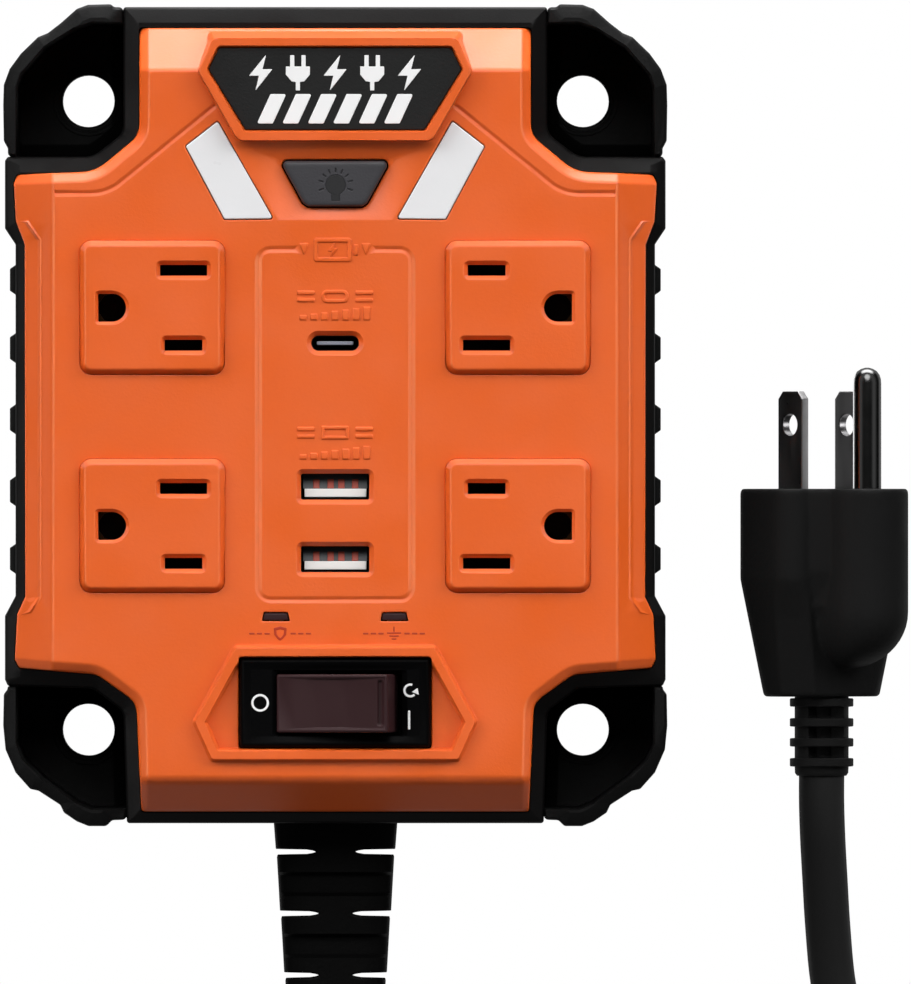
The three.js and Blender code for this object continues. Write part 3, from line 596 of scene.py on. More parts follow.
# ---------------------------------------------------------------- the cord and what is on it
BOX_END_ROUTE = [
    (0, -116.3, 17.0), (0, -123, 16.8), (-0.4, -131, 15.2), (-1.2, -140, 12.0), (-2.2, -149, 8.8),
    (-3.3, -158, 6.5), (-4.3, -166, 5.5), (-4.9, -173, 5.3),
]
PLUG_END_ROUTE = [
    (105.0, -172, 13.4), (104.2, -164, 12.4), (102.4, -155, 10.2), (99.6, -145, 7.4), (96.2, -135, 5.2),
    (92.6, -124, 4.2), (89.2, -114, 4.1), (86.6, -105, 4.2), (84.8, -96.4, 5.2), (83.9, -87, 7.4),
    (83.4, -79, 9.9), (83.0, -72, 12.0), (82.8, -66, 13.1), (82.8, -60.95, 13.4),
]
COIL_CENTRE = (50, -180)
COIL_INNER, COIL_OUTER = 38.9, 55.1   # radius of the cord's middle
COIL_LOW, COIL_HIGH = 5.3, 13.5       # height of the cord's middle in the lower and the upper turns


def coil_points():
    """Two turns inward near the floor, half a turn up, and two turns outward on top of them."""
    points, per_turn = [], 24
    for k in range(int(4.5 * per_turn) + 1):
        turns = k / per_turn
        inward = COIL_OUTER - (COIL_OUTER - COIL_INNER) * turns / 2
        outward = COIL_INNER + (COIL_OUTER - COIL_INNER) * (turns - 2.5) / 2
        radius = inward if turns < 2 else outward if turns > 2.5 else COIL_INNER
        climb = min(max((turns - 2) / 0.5, 0), 1)
        z = COIL_LOW + (COIL_HIGH - COIL_LOW) * climb * climb * (3 - 2 * climb)
        angle = math.pi + 2 * math.pi * turns
        x, y = radius * math.cos(angle), radius * math.sin(angle)
        points.append((COIL_CENTRE[0] + x, COIL_CENTRE[1] + y, z))
    return points


def smooth(points, per_step):
    """A smooth curve through the points."""
    p = np.array(points, float)
    p = np.vstack([2 * p[0] - p[1], p, 2 * p[-1] - p[-2]])
    out = []
    for i in range(1, len(p) - 2):
        a, b, c, d = p[i - 1:i + 3]
        for k in range(per_step):
            t = k / per_step
            out.append(0.5 * (2 * b + (c - a) * t + (2 * a - 5 * b + 4 * c - d) * t ** 2
                              + (3 * b - a - 3 * c + d) * t ** 3))
    out.append(p[-2])
    return out


def flexible_cord():
    """The cord as a round tube along its route, and its length in metres."""
    route = smooth(BOX_END_ROUTE + coil_points() + PLUG_END_ROUTE, 5)
    data = bpy.data.curves.new("cord", "CURVE")
    data.dimensions = "3D"
    data.bevel_depth = CORD_R * MM
    data.bevel_resolution = 6
    data.use_fill_caps = True
    line = data.splines.new("POLY")
    line.points.add(len(route) - 1)
    for point, place in zip(line.points, route):
        point.co = (*[v * MM for v in place], 1)
    line.use_smooth = True
    data.materials.append(CORD_BLACK)
    obj = bpy.data.objects.new("cord", data)
    bpy.context.scene.collection.objects.link(obj)
    length = sum(math.dist(a, b) for a, b in zip(route, route[1:])) * MM
    return obj, length


cord_obj, cord_length = flexible_cord()
piece(cord_obj, "strip", "cord_black", "cord_box_end", "cord_coil", "cord_plug_end")


# ---------------------------------------------------------------- front cover
# The left half of the cover, from the far end to the cord's end, and its notches at the corners.
COVER_HALF = softened([(-33.2, 65.7), (-33.2, 47.5), (-40.7, 41.3), (-54.0, 40.8), (-54.6, 39.3),
                       (-54.2, 32.8), (-52.7, 28.9), (-52.6, -30.9), (-54.0, -33.8), (-54.4, -41.5),
                       (-53.7, -42.9), (-40.4, -44.0), (-33.7, -48.8), (-32.9, -67.3)],
                      {1: 4.0, 2: 7.0, 11: 4.0, 12: 3.5})
UPPER_NOTCH = softened([(-33.2, 67.0), (-33.2, 47.5), (-40.7, 41.3), (-54.8, 40.7)], {1: 4.0, 2: 7.0})
LOWER_NOTCH = softened([(-54.6, -42.8), (-40.4, -44.0), (-33.7, -48.8), (-32.9, -68.5)], {1: 4.0, 2: 3.5})
BADGE_FRAME = [(-23.2, 58.4), (-20.7, 63.9), (20.7, 63.9), (23.2, 58.4), (16.4, 46.6), (-16.4, 46.6)]
BADGE_PLATE = [(-21.5, 58.6), (-19.7, 62.3), (19.7, 62.3), (21.5, 58.6), (15.2, 48.3), (-15.2, 48.3)]
SWITCH_FRAME = [(-17.0, -39.2), (17.0, -39.2), (24.0, -52.0), (21.0, -58.6), (-21.0, -58.6), (-24.0, -52.0)]
LENS = [(19.85, 50.0), (25.5, 45.6), (18.8, 33.05), (10.3, 33.15)]
BUTTON = [(-8.7, 43.3), (8.7, 43.3), (9.1, 42.2), (5.6, 35.8), (4.7, 35.15), (-4.7, 35.15), (-5.6, 35.8),
          (-9.1, 42.2)]
FUNNEL = [(-17.3, 46.15), (17.3, 46.15), (9.75, 33.0), (-9.75, 33.0)]
INDICATOR = [(7.8, -34.85), (12.3, -34.85), (12.0, -33.55), (8.1, -33.55)]
SWITCH_PLACE = (0.0, -48.8)
SWITCH_SIZE = (32.4, 15.2)
USB_C_Y = 12.2
USB_A_YS = (-12.15, -24.45)
FRAME_TOP = 45.0
BADGE_LINE = Outline(BADGE_FRAME, 1.5)


def crease(distance, slope, width=0.45):
    """Height along a turn from a flat face into a slope, rounded over the width to each side."""
    s = np.asarray(distance, float)
    bend = -slope * (s + width) ** 2 / (4 * width)
    return np.where(s < -width, 0.0, np.where(s > width, -slope * s, bend))


def cover_planes(xy):
    """The flat face and the slopes round it, with the shallow ledge along the middle of each side."""
    x, y = np.abs(xy[:, 0]), xy[:, 1]
    side = crease(x - CREASE_X, SLOPE_SIDE)
    top = crease(y - CREASE_TOP, SLOPE_TOP)
    bottom = crease(CREASE_BOTTOM - y, SLOPE_BOTTOM, 1.0)
    across = np.minimum((x - CREASE_X) / 2.2, (52.9 - x) / 2.8)
    along = (33.6 - np.abs(y + 0.6) - 0.6 * (x - CREASE_X)) / 2.0
    ledge = -0.95 * np.clip(np.minimum(across, along), 0, 1)
    return FACE + side + top + bottom + ledge


def frame_fall(xy):
    """The badge frame's sides are steep, and its far side is a slope."""
    return np.interp(xy[:, 1], [63.2, 64.4], [12.0, 6.0])


def badge_foot():
    """Where the steep sides of the badge frame meet the face and the top slope."""
    line = BADGE_LINE.at()
    dense = []
    for a, b in zip(line, line[1:] + line[:1]):
        count = max(1, round(math.dist(a, b) / 1.0))
        dense += [(a[0] + (b[0] - a[0]) * k / count, a[1] + (b[1] - a[1]) * k / count) for k in range(count)]
    shape = Outline(dense, 0.0)
    steps = np.linspace(0.05, 2.0, 52)
    rings = np.array([shape.at(d) for d in steps])
    foot = []
    for line in rings.transpose(1, 0, 2):
        gap = FRAME_TOP - frame_fall(line) * steps - cover_planes(line)
        k = int(np.argmax(gap <= 0)) if (gap <= 0).any() else len(steps) - 1
        foot.append(tuple(line[k]))
    return foot


def cover_base(xy):
    """The cover's planes with the badge frame standing on them."""
    away = -depth_in(xy, BADGE_LINE.at())
    return np.maximum(cover_planes(xy), np.minimum(FRAME_TOP, FRAME_TOP - frame_fall(xy) * away))


def groove(relief, path, half_width, depth):
    """A V-shaped line pressed into the face along a path."""
    for share in (1.0 + GUARD / half_width, 1.0, 0.7, 0.15):
        relief.paths.append(band(path, half_width * share) + band(path, half_width * share)[:1])
    profile = [(0, -depth), (0.15 * half_width, -depth), (0.7 * half_width, -0.25 * depth), (half_width, 0)]
    relief.terms.append(lambda xy: np.interp(path_distance(xy, path), *zip(*profile)))


def bolt(x, y, size):
    points = [(0.15, 0.5), (-0.32, -0.08), (-0.05, -0.08), (-0.15, -0.5), (0.32, 0.1), (0.05, 0.1)]
    return Outline([(x + px * size, y + py * size) for px, py in points], 0.05, 2)


def raised_signs():
    """Plain signs moulded by the ports: battery and arrows, port shapes, and rows of growing bars."""
    raised, sunk = [], []
    x, y, width, height = -0.4, 28.0, 6.4, 4.0
    end_cap = rectangle(0.7, height * 0.45, 0.1, x + width / 2 + 0.75, y)
    raised += [rectangle(width, height, 0.5, x, y), end_cap, bolt(x, y, 2.6)]
    sunk.append(rectangle(width - 1.3, height - 1.3, 0.2, x, y))
    for side in (-1, 1):
        raised.append(Outline([(side * 4.45, 29.1), (side * 6.05, 29.1), (side * 5.25, 27.0)], 0.15, 3))
    wide = 4.6
    for y, tall, corner, inner_corner in ((20.1, 2.1, 0.9, 0.5), (-3.0, 2.2, 0.2, 0.1)):
        raised.append(rectangle(wide, tall, corner, 0, y))
        sunk.append(rectangle(wide - 1.0, tall - 1.0, inner_corner, 0, y))
        for side in (-1, 1):
            raised += [rectangle(2.9, 0.62, 0.1, side * 4.95, y + up * 0.62, 2) for up in (1, -1)]
    bars, pitch = 7, 1.8
    for y in (17.2, -6.4):
        for k in range(bars):
            tall = 0.8 + 1.4 * k / (bars - 1)
            raised.append(rectangle(1.15, tall, 0.12, pitch * (k - (bars - 1) / 2), y - 1.1 + tall / 2, 2))
    return raised, sunk


def side_ledges(cover):
    """The mesh lines of the slopes and of the shallow ledge along each side, with the ridge on its edge."""
    for s in (-0.45, -0.15, 0.15, 0.45):
        for side in (-1, 1):
            cover.paths.append([(side * (CREASE_X + s), 45), (side * (CREASE_X + s), -46)])
        cover.paths.append([(-36, CREASE_TOP + s), (36, CREASE_TOP + s)])
        cover.paths.append([(-36, CREASE_BOTTOM - 2.2 * s), (36, CREASE_BOTTOM - 2.2 * s)])
    foot, inner, upper, lower = CREASE_X + 4.6, 50.1, 29.7, -30.9
    for side in (-1, 1):
        def line(*points):
            return [(side * x, y) for x, y in points]
        cover.paths.append(line((foot, 31.0 - 0.6), (inner, upper), (inner, lower), (foot, -31.6)))
        groove(cover, line((52.3, 32.8), (50.15, upper), (50.15, lower), (51.9, -33.4)), 0.4, -0.38)
        cover.paths.append(line((CREASE_X, 33.0), (53.2, 29.8)))
        cover.paths.append(line((CREASE_X, -34.2), (53.2, -31.0)))


def front_cover():
    """The orange cover with its frames, creases, lines, signs and openings."""
    cover = Relief(Outline(mirrored(COVER_HALF), 0.5), cover_base)
    side_ledges(cover)
    cover.edge(0.4)
    upper_bevel = [(-1.8, 0.0), (-1.55, -0.07), (-1.3, -0.3), (0.0, -1.74), (0.5, -1.74)]
    lower_bevel = [(-1.8, 0.0), (-1.55, -0.05), (-1.3, -0.2), (0.0, -1.15), (0.5, -1.15)]
    away = 90   # well past the cover on every side
    upper = [(UPPER_NOTCH[0][0], away)] + UPPER_NOTCH[1:] + [(-away, UPPER_NOTCH[-1][1]), (-away, away)]
    lower = [(-away, -away), (-away, LOWER_NOTCH[0][1])] + LOWER_NOTCH[:-1] + [(LOWER_NOTCH[-1][0], -away)]
    for points, bevel in ((upper, upper_bevel), (lower, lower_bevel)):
        for shape in (points, flipped(points)):
            cover.ring(Outline(shape, 0.6), bevel)
    cover.loops += [BADGE_LINE.at(d) for d in (0, -0.2, -0.35, 0.1)] + [badge_foot()]

    def softened_rim(xy):
        depth = depth_in(xy, BADGE_LINE.at())
        return np.where(depth >= 0, np.interp(depth, [0, 0.2], [-0.12, 0]), 0)
    cover.terms.append(softened_rim)
    cover.step(Outline(BADGE_PLATE, 0.7), -1.4, 0.4, -0.35)
    hex_out, hex_in = Outline(SWITCH_FRAME, 0.7), Outline(grown(SWITCH_FRAME, -1.75), 0.3)
    cover.step(hex_out, 1.3, 0.55, -0.25)
    cover.step(hex_in, -1.9, 0.55, -0.1)
    cover.wedge(FUNNEL, (3.4, 4.9, 1.95, 4.9), lambda xy: np.interp(xy[:, 1], [34.9, 43.6], [-1.05, -1.1]),
                [(0, 0), (0.05, 0.02), (0.12, 0.09), (0.9, 0.93), (1, 1)])
    edge_line = open_rounded([(-47.5, 37.6), (-38.6, 37.6), (-20.6, 52.3)], 7.8)
    for line in (edge_line, [(-x, y) for x, y in edge_line]):
        groove(cover, line, 0.55, 0.3)
    port_line = [(-6.9, 28.1), (-13, 28.1), (-13, -31.3), (13, -31.3), (13, 28.1), (6.9, 28.1)]
    groove(cover, open_rounded(port_line, 2.0), 0.6, 0.26)
    raised, sunk = raised_signs()
    for shapes, height in ((raised, 0.26), (sunk, -0.26)):
        for shape in shapes:
            cover.step(shape, height, 0.2, -0.08)
    for x in (-OUTLET_X, OUTLET_X):
        for y in OUTLET_ROWS:
            cover.hole(rectangle(24.64, 22.79, 2.0, x, y), 0.12, 2)
    for shape in (LENS, flipped(LENS)):
        cover.hole(Outline(shape, 0.4), 0.2)
    cover.hole(Outline(grown(BUTTON, 0.02), 0.9), 0.2)
    for shape in (INDICATOR, flipped(INDICATOR)):
        cover.hole(Outline(grown(shape, 0.12), 0.2), 0.2)
    cover.hole(rectangle(SWITCH_SIZE[0] + 0.3, SWITCH_SIZE[1] + 0.3, 0.5, *SWITCH_PLACE), 0.25)
    cover.hole(rectangle(8.1, 2.6, 1.28, 0, USB_C_Y), 0.8, bevel=True)
    for y in USB_A_YS:
        cover.hole(rectangle(11.6, 4.4, 0.3, 0, y), 0.8, bevel=True)
    return piece(cover.build("cover", 31.0, ORANGE), "strip", "cover_orange", "front_cover")


front_cover()


# ---------------------------------------------------------------- housing, corners and side strips
HOUSING_HALF = softened([(-36.0, 69.3), (-36.0, 47.9), (-41.2, 43.9), (-55.6, 43.9), (-56.1, 43.2),
                         (-56.1, 31.7), (-54.3, 29.0), (-54.3, -30.7), (-56.1, -34.1), (-56.1, -44.9),
                         (-55.6, -46.0), (-41.2, -46.4), (-36.0, -50.3), (-35.4, -69.3)],
                        {1: 3.0, 2: 4.5, 11: 3.0, 12: 2.5})
SCREWS = [(-26.6, 56), (26.6, 56), (-26.6, -58), (26.6, -58)]
UPPER_CORNER = [(-36.0, 69.3), (-37.6, 69.3), (-38.1, 69.8), (-42, 69.7), (-43.9, 69), (-46.6, 66.6),
                (-48.8, 64.9), (-50.5, 64.2), (-53.4, 61.4), (-55.3, 58.8), (-56.3, 56.1), (-56.4, 52.7),
                (-56.3, 46.6), (-55.6, 45.3)]
UPPER_CORNER += softened([(-55.6, 43.9), (-41.2, 43.9), (-36.0, 47.9), (-36.0, 69.3)],
                         {1: 4.5, 2: 3.0})[:-1]
UPPER_POCKET = [(-35, 66.5), (-41.2, 66.7), (-44.3, 65.7), (-49.3, 62.6), (-53.4, 57.9), (-54.1, 55.8),
                (-54.1, 43), (-35, 43)]
LOWER_CORNER = [(-35.4, -68.7), (-37.9, -68.8), (-38.9, -69.8), (-41.9, -69.8), (-43.9, -69), (-46.1, -67.5),
                (-46.7, -66.2), (-50.4, -63.8), (-51.8, -63.5), (-54.3, -60.7), (-56, -56.8), (-56.4, -52.7),
                (-56.3, -47.4), (-55.7, -46.6)]
LOWER_CORNER += softened([(-55.6, -46.0), (-41.2, -46.4), (-36.0, -50.3), (-35.4, -69.3)],
                         {1: 3.0, 2: 2.5})[:-1]
LOWER_POCKET = [(-34.5, -66.7), (-41.2, -66.9), (-43.6, -66), (-49.3, -62), (-53, -58.5), (-54.1, -55.8),
                (-54.1, -45), (-34.5, -45)]
GRIP_RIBS = (23.0, 11.4, -0.7, -12.9, -24.4)


def rear_housing():
    """The black shell: a rim that falls away outward round the cover, and four screw wells in the back."""
    housing = Relief(Outline(mirrored(HOUSING_HALF), 0.5), RIM)
    housing.ring(housing.outline, [(0, -1.9), (0.12, -1.35), (0.45, -0.95), (2.6, 0.0)])
    housing.ring(Outline(mirrored(COVER_HALF), 0.5), [(-0.16, 0), (-0.1, -3.6)])
    wells = [circle(3.2, x, y) for x, y in SCREWS]
    housing.loops += [well.at(d) for well in wells for d in (0, 0.05)]
    rim = housing.outline.at()

    def back(xy, top):
        low = 0.8 + np.interp(path_distance(xy, rim, True), [0, 0.12, 0.45], [0.5, 0.12, 0.0])
        for well in wells:
            low[depth_in(xy, well.at()) > -0.01] = 2.2
        return low
    return piece(housing.build("housing", back, HOUSING_BLACK), "strip", "housing_black", "rear_housing")


def bumper(level, label, side, row, points, pocket):
    """A rubber corner with a deep pocket and a hanging hole."""
    def flip(line):
        return line if side < 0 else flipped(line)
    corner = Relief(Outline(flip(points), 0.8), RIM - 0.3)
    corner.ring(corner.outline, [(0, -1.7), (0.12, -1.2), (0.5, -0.8), (2.2, 0.0)])
    corner.step(Outline(flip(pocket), 1.2), -24.9, 0.5, -0.2)
    x, y, radius = HOLE
    hole = circle(radius, side * x, row * y, 40)
    corner.ring(hole, [(-1.6, 0), (-1.5, 0.25), (-0.9, 0.25), (-0.8, 0.0)])
    corner.hole(hole, 0.5)
    rim = corner.outline.at()

    def foot(xy, top):
        return np.interp(path_distance(xy, rim, True), [0, 0.15, 0.6], [0.6, 0.2, 0.0])
    return piece(corner.build(f"corner_{level}_{label}", foot, RUBBER), "strip", "bumper_rubber",
                 f"corner_bumper_{level}_{label}")


def side_strip(label, side):
    """A rubber strip with ribs along one side."""
    back, base, face = 53.1, 54.3, 55.3
    line = [(back, -28.1), (base, -28.1)]
    for y in reversed(GRIP_RIBS):
        line += [(base, y - 2.55), (face, y - 1.85), (face, y + 1.85), (base, y + 2.55)]
    line += [(base, 26.7), (back, 26.7)]
    outline = [(side * x, y) for x, y in (line if side > 0 else reversed(line))]
    strip = Relief(Outline(outline, 0.25, 3), 30.0).edge(0.45)
    return piece(strip.build(f"side_strip_{label}", 3.0, RUBBER), "strip", "bumper_rubber",
                 f"side_grip_{label}")


rear_housing()
for label, side in SIDES:
    bumper("upper", label, side, 1, UPPER_CORNER, UPPER_POCKET)
    bumper("lower", label, side, -1, LOWER_CORNER, LOWER_POCKET)
    side_strip(label, side)


# ---------------------------------------------------------------- outlets
def outlet(label, side, row, y):
    """A raised block with a long and a short blade slot and a D-shaped ground hole."""
    def turned(px, py):
        return side * OUTLET_X - side * px, y - side * py
    block = Relief(rectangle(24.6, 22.75, 2.0, side * OUTLET_X, y), FACE + 1.3)
    rim = block.outline.at()
    reaches, falls = (0, 0.72, 0.85, 1.0, 1.15), (1.0, 0.18, 0.07, 0.015, 0.0)
    block.loops += [block.outline.at(-d) for d in reaches[1:] + (1.3,)]
    block.terms.append(lambda xy: -np.interp(path_distance(xy, rim, True), reaches, falls) *
                       np.interp(xy[:, 1] - y, [-9, 9], [1.6, 0.7]))
    for length, end in ((8.0, 1), (6.4, -1)):
        block.hole(rectangle(length, 1.85, 0.12, *turned(5.3, end * BLADE_X), 2), 0.72, bevel=True)
    x, radius = -6.8, 2.375
    hole = [(x - radius, radius), (x - radius, -radius)]
    half_turn = np.linspace(-math.pi / 2, math.pi / 2, 17)
    hole += [(x + radius * math.cos(t), radius * math.sin(t)) for t in half_turn]
    block.hole(Outline([turned(*q) for q in hole], 0.2, 3), 0.55, bevel=True)
    return piece(block.build(f"outlet_block_{row}_{label}", 36.0, ORANGE), "strip", "cover_orange",
                 f"outlet_{row}_{label}")


for label, side in SIDES:
    for row, y in zip(("upper", "lower"), OUTLET_ROWS):
        outlet(label, side, row, y)


# ---------------------------------------------------------------- signs printed or laid into a face
def sign(name, shapes, low, high, material, edge=0.06):
    """Thin closed plates, each an outline with its holes, made into one object."""
    shells = []
    for outline, holes in shapes:
        plate = Relief(outline, high).edge(edge, 2)
        for hole in holes:
            plate.hole(hole, edge, 2)
        shells.append(plate.shell(low))
    return mesh_object(name, shells, material)


def placed(points, x, y, size, turn=0.0, radius=0.1):
    """The points scaled, turned and moved, as a rounded outline."""
    c, s = math.cos(turn), math.sin(turn)
    moved = [(x + size * (px * c - py * s), y + size * (px * s + py * c)) for px, py in points]
    return Outline(moved, radius, 3)


def stroke(path, half_width):
    return Outline(band(path, half_width), 0.05, 2)


def arc_path(radius, start, stop, x, y, count):
    turn = [math.radians(start + (stop - start) * k / (count - 1)) for k in range(count)]
    return [(x + radius * math.cos(t), y + radius * math.sin(t)) for t in turn]


PLUG_SIGN = [(-0.22, 0.5), (-0.1, 0.5), (-0.1, 0.18), (0.1, 0.18), (0.1, 0.5), (0.22, 0.5), (0.22, 0.18),
             (0.34, 0.18), (0.34, -0.05), (0.18, -0.24), (0.06, -0.26), (0.06, -0.5), (-0.06, -0.5),
             (-0.06, -0.26), (-0.18, -0.24), (-0.34, -0.05), (-0.34, 0.18), (-0.22, 0.18)]


def badge():
    """The black plate with a row of plug and spark signs over a row of slanting bars."""
    plate = Relief(Outline(grown(BADGE_PLATE, -0.05), 0.65), FACE + 1.15).edge(0.15)
    piece(plate.build("badge", FACE + 0.5, BADGE_BLACK), "strip", "badge_black", "badge_plate")
    upper, lower, tall = 58.0, 51.9, 5.4
    shapes = []
    for k in range(5):
        x = 6.3 * (k - 2)
        shapes.append((placed(PLUG_SIGN, x, upper, tall + 0.6) if k % 2 else bolt(x, upper, tall + 0.8), []))
    for k in range(6):
        x = 4.3 * (k - 2.5)
        bar = [(x - 2.5, lower - 2.5), (x + 0.2, lower - 2.5), (x + 2.5, lower + 2.5), (x - 0.2, lower + 2.5)]
        shapes.append((Outline(bar, 0.25, 3), []))
    signs = sign("badge_signs", shapes, FACE + 1.0, FACE + 1.3, PRINT_WHITE)
    piece(signs, "strip", "lens_white")


def lenses():
    """The white light lenses, each a hair above the cover."""
    for label, points in (("right", LENS), ("left", flipped(LENS))):
        lens = Relief(Outline(grown(points, -0.14), 0.35), FACE + 0.12).edge(0.22)
        piece(lens.build(f"lens_{label}", 38.0, LENS_WHITE), "strip", "lens_white", f"light_lens_{label}")


def light_button():
    """The grey button with a lamp sign pressed into it, its hollow laid with a darker grey as painted shade.
    """
    x, y = 0.1, 39.0
    lamp_head = circle(1.75, x, y, 28)
    neck = rectangle(1.5, 1.2, 0.15, x, y - 2.15)
    rays = []
    for k, degrees in enumerate((-18, 14, 40, 65, 90, 115, 140, 166, 198)):
        t = math.radians(degrees)
        first, last = 2.1, 3.0 if k in (0, 1, 7, 8) else 2.85
        rays.append(stroke([(x + first * math.cos(t), y + first * math.sin(t)),
                            (x + last * math.cos(t), y + last * math.sin(t))], 0.12))
    cap = Relief(Outline(grown(BUTTON, -0.22), 0.8), FACE + 0.3)
    cap.ring(cap.outline, [(0, -0.6), (0.08, -0.32), (0.25, -0.1), (0.5, -0.02), (0.9, 0)])
    for shape in [lamp_head, neck] + rays:
        cap.step(shape, -0.14, 0.12, -0.06)
    piece(cap.build("button", 38.5, BUTTON_GREY), "button_body", "button_grey", "light_button")
    # A darker grey sheet laid in the sign's hollow: painted shade.
    hollow_shade = [(Outline(shape.at(-0.06), 0.0), []) for shape in [lamp_head, neck] + rays]
    signs = sign("button_sign", hollow_shade, FACE, FACE + 0.19, SIGN_SHADE_GREY, 0.015)
    piece(signs, "button_body", "button_grey")


def indicators():
    """The two smoked windows, and the shield and earth signs below them, each between short dashes."""
    for label, points in (("right", INDICATOR), ("left", flipped(INDICATOR))):
        window = Relief(Outline(grown(points, -0.02), 0.2), FACE - 0.1).edge(0.3)
        piece(window.build(f"indicator_{label}", 41.0, SMOKE), "strip", "smoke", f"indicator_lens_{label}")
    shield = [(-0.5, 0.42), (0, 0.56), (0.5, 0.42), (0.45, -0.1), (0.22, -0.4), (0, -0.55), (-0.22, -0.4),
              (-0.45, -0.1)]
    y = -37.05
    shapes = [(placed(shield, -9.3, y, 2.2), [placed(shield, -9.3, y, 1.3, 0, 0.05)])]
    for x, tall, wide in ((10.0, 0.0, 2.4), (10.0, -0.5, 1.6), (10.0, -1.0, 0.8)):
        shapes.append((rectangle(wide, 0.24, 0.05, x, y + tall + 0.1, 2), []))
    shapes.append((rectangle(0.24, 0.9, 0.05, 10.0, y + 0.75, 2), []))
    for x in (-9.3, 10.0):
        for side in (-1, 1):
            for k in range(3):
                shapes.append((rectangle(0.9, 0.3, 0.08, x + side * (2.2 + 1.3 * k), y, 2), []))
    signs = sign("indicator_signs", shapes, FACE - 0.1, FACE + 0.06, SIGN_RED, 0.03)
    piece(signs, "strip", "cover_orange")


badge()
lenses()
light_button()
indicators()


# ---------------------------------------------------------------- USB ports
def usb_c():
    """The port's liner, and its tongue with six contacts."""
    shell = Relief(rectangle(8.0, 2.5, 1.24, 0, USB_C_Y), FACE - 1.0).edge(0.08, 2)
    shell.hole(rectangle(7.75, 2.25, 1.12, 0, USB_C_Y), 0.08, 2)
    piece(shell.build("usb_c_liner", 30.0, SWITCH_BLACK), "strip", "plated_steel", "usb_c_shell")
    tongue = Relief(rectangle(6.2, 0.62, 0.15, 0, USB_C_Y), FACE - 1.6).edge(0.12, 2)
    for k in range(6):
        tongue.step(rectangle(0.3, 0.2, 0.05, 2.25 - 0.9 * k, USB_C_Y + 0.1, 2), 0.05, 0.05)
    piece(tongue.build("usb_c_leaf", 29.6, TONGUE_GREY), "strip", "housing_black", "usb_c_tongue")


def usb_a(row, y):
    """The port's liner, its white tongue, and a back lighter than black plastic as painted light for the deep
    port, with four springs above the tongue.
    """
    def sloping(depth):
        return lambda xy: FACE - depth - 0.5 * (xy[:, 1] - y)
    shell = Relief(rectangle(11.5, 4.3, 0.28, 0, y), FACE - 1.0).edge(0.08, 2)
    shell.hole(rectangle(11.2, 4.0, 0.15, 0, y), 0.08, 2)
    liner = shell.build(f"usb_a_liner_{row}", 29.0, SWITCH_BLACK)
    piece(liner, "strip", "plated_steel", f"usb_a_shell_{row}")
    leaf = Relief(rectangle(10.5, 1.42, 0.1, 0.05, y - 1.05), FACE - 1.5).edge(0.12, 2)
    piece(leaf.build(f"usb_a_leaf_{row}", 29.6, TONGUE_WHITE), "strip", "tongue_white", f"usb_a_tongue_{row}")
    # The back's lighter grey is painted light for the shadowed depth of the port.
    back = Relief(rectangle(10.9, 2.3, 0.1, 0, y + 0.82), sloping(2.3)).edge(0.1, 2)
    piece(back.build(f"usb_a_back_{row}", 29.6, PORT_BACK_LIT), "strip", "housing_black")
    springs = []
    for x in (-3.2, -0.75, 1.05, 3.4):
        spring = Relief(rectangle(1.1, 1.6, 0.1, x, y + 0.5, 2), sloping(2.15)).edge(0.12, 2)
        springs.append(spring.shell(FACE - 4.0))
    piece(mesh_object(f"usb_a_springs_{row}", springs, COPPER), "strip", "contact_brass")


usb_c()
for row, y in zip(("upper", "lower"), USB_A_YS):
    usb_a(row, y)


# ---------------------------------------------------------------- switch and rocker
ROCKER_PIVOT = (0.45, -48.9, 39.7)
OFF_TILT = math.radians(12)


def switch():
    """The black switch housing with plain on and off signs, and the well that the smoked rocker tilts in."""
    x, y = SWITCH_PLACE
    width, depth = SWITCH_SIZE
    body = Relief(rectangle(width, depth, 0.6, x, y), FACE + 0.6)
    body.ring(body.outline, [(0, -0.7), (0.1, -0.35), (0.35, -0.08), (0.6, 0), (0.8, -0.02), (1.9, -0.3)])
    well = rectangle(21.15, 10.9, 0.5, ROCKER_PIVOT[0] + 0.325, ROCKER_PIVOT[1])
    body.ring(well, [(-0.9, 0), (-0.8, -0.05), (-0.1, -0.45), (0, -0.6), (0.06, -10.0)])
    piece(body.build("switch_body", 23.0, SWITCH_BLACK), "strip", "switch_black", "switch_housing")
    left, right = -12.7, 12.55
    ring_sign = (circle(1.5, left, y, 28), [circle(1.12, left, y, 28)])
    mark = (rectangle(0.4, 3.2, 0.1, right, y - 2.9, 2), [])
    turn = arc_path(1.0, 70, 330, right + 0.2, y + 2.1, 20)
    head = placed([(0.65, 0.0), (-0.65, 0.0), (0.0, 1.0)], *turn[-1], 1.0, math.radians(-22), 0.05)
    signs = sign("switch_signs", [ring_sign, mark, (stroke(turn[:-1], 0.19), []), (head, [])],
                 FACE + 0.1, FACE + 0.36, PRINT_WHITE, 0.03)
    piece(signs, "strip", "lens_white")


